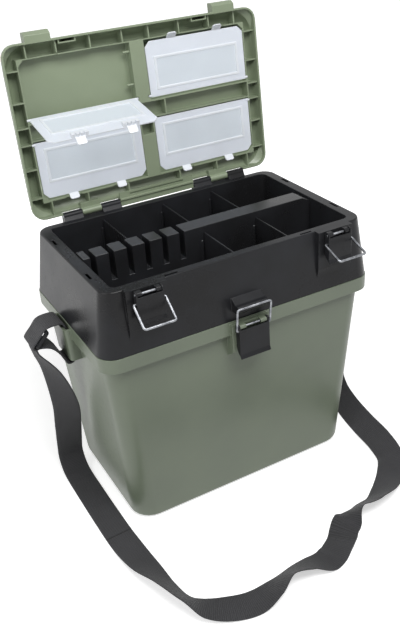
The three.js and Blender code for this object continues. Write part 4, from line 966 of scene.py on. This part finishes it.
def dress_bails():
    """The bent wire bails, each turned about its pivot to its place at rest."""
    joints = {joint["name"]: joint for joint in frame["joints"]}
    for name, (half, foot, middle, angle) in BAILS.items():
        pivot = Vector(joints[f"{name}_bail_pivot"]["pos_m"])
        pivot.x = middle
        corners = [Vector((x, 0, z)) for x, z in (
            (-foot, 0), (-half, 0), (-half, BAIL_REACH), (half, BAIL_REACH), (half, 0), (foot, 0))]
        tight = min(half - foot, BAIL_CORNER) * FOOT_CORNER_SHARE
        points = arcs(corners, [tight, BAIL_CORNER, BAIL_CORNER, tight], CORNER_STEPS)
        node = f"{name}_latch_bail"
        wire = tube(f"{name}_bail_wire", points, WIRE_RADIUS, [STEEL])
        turn = Matrix.Rotation(math.radians(90 - angle), 4, "X")
        wire.data.transform(Matrix.Translation(pivot) @ turn)
        place(wire, body_of(node), "steel", node)


dress_bails()


# Floor and background: half side and level, the distances between which the floor's glow grows from its
# least share to the whole, and the world's strength as a light
FLOOR_HALF = 6.0
FLOOR_LEVEL = -0.0002
PAPER_COLOUR = (0.8, 0.8, 0.8, 1.0)
GLOW_SPAN = (0.35, 0.95)
GLOW_LEAST = 0.55
WORLD_LIGHT = 0.26

# Lamps: place, target and size in metres, then power in watts
LAMPS = {
    "key_left": ((-1.6, -0.3, 0.9), (0.0, 0.0, 0.2), (1.0, 1.4), 12.5),
    "top": ((0.0, -0.75, 1.55), (0.0, 0.05, 0.4), (1.0, 0.7), 22.5),
}


def make_floor():
    """Pale paper that keeps the shadow near the box and is seen white farther out."""
    bm = bmesh.new()
    bmesh.ops.create_grid(bm, x_segments=1, y_segments=1, size=FLOOR_HALF)
    material, nodes, where = new_finish("floor_paper")
    reach = nodes.add("ShaderNodeVectorMath", Vector=where)
    reach.operation = "LENGTH"
    fade = nodes.span(reach.outputs["Value"], *GLOW_SPAN, GLOW_LEAST, 1.0)
    paper = nodes.add("ShaderNodeBsdfDiffuse", Color=PAPER_COLOUR)
    strength = nodes.math("MULTIPLY", nodes.background(), fade)
    glow = nodes.add("ShaderNodeEmission", Color=WHITE, Strength=strength)
    both = nodes.add("ShaderNodeAddShader")
    output = nodes.add("ShaderNodeOutputMaterial")
    for shader, socket in ((paper, both.inputs[0]), (glow, both.inputs[1]), (both, output.inputs["Surface"])):
        nodes.fill(socket, shader.outputs[0])
    floor = new_piece("floor", mesh_of("floor", bm), [material])
    floor.location.z = FLOOR_LEVEL


def make_world():
    """White behind the box, and a weaker light from all round."""
    world = bpy.data.worlds.new("studio")
    bpy.context.scene.world = world
    nodes = Nodes(world)
    strength = nodes.span(nodes.background(), 0.0, 1.0, WORLD_LIGHT, 1.0)
    sky = nodes.add("ShaderNodeBackground", Color=WHITE, Strength=strength)
    nodes.add("ShaderNodeOutputWorld", Surface=sky.outputs[0])


def lamp(name, place_at, target, size, power):
    """A soft rectangular lamp turned towards its target."""
    data = bpy.data.lights.new(name, "AREA")
    data.shape = "RECTANGLE"
    data.size, data.size_y = size
    data.energy = power
    obj = bpy.data.objects.new(name, data)
    bpy.context.scene.collection.objects.link(obj)
    obj.location = place_at
    obj.rotation_euler = (Vector(target) - Vector(place_at)).to_track_quat("-Z", "Y").to_euler()


make_floor()
make_world()
for name, row in LAMPS.items():
    lamp(name, *row)

bpy.context.scene.view_settings.view_transform = "Standard"
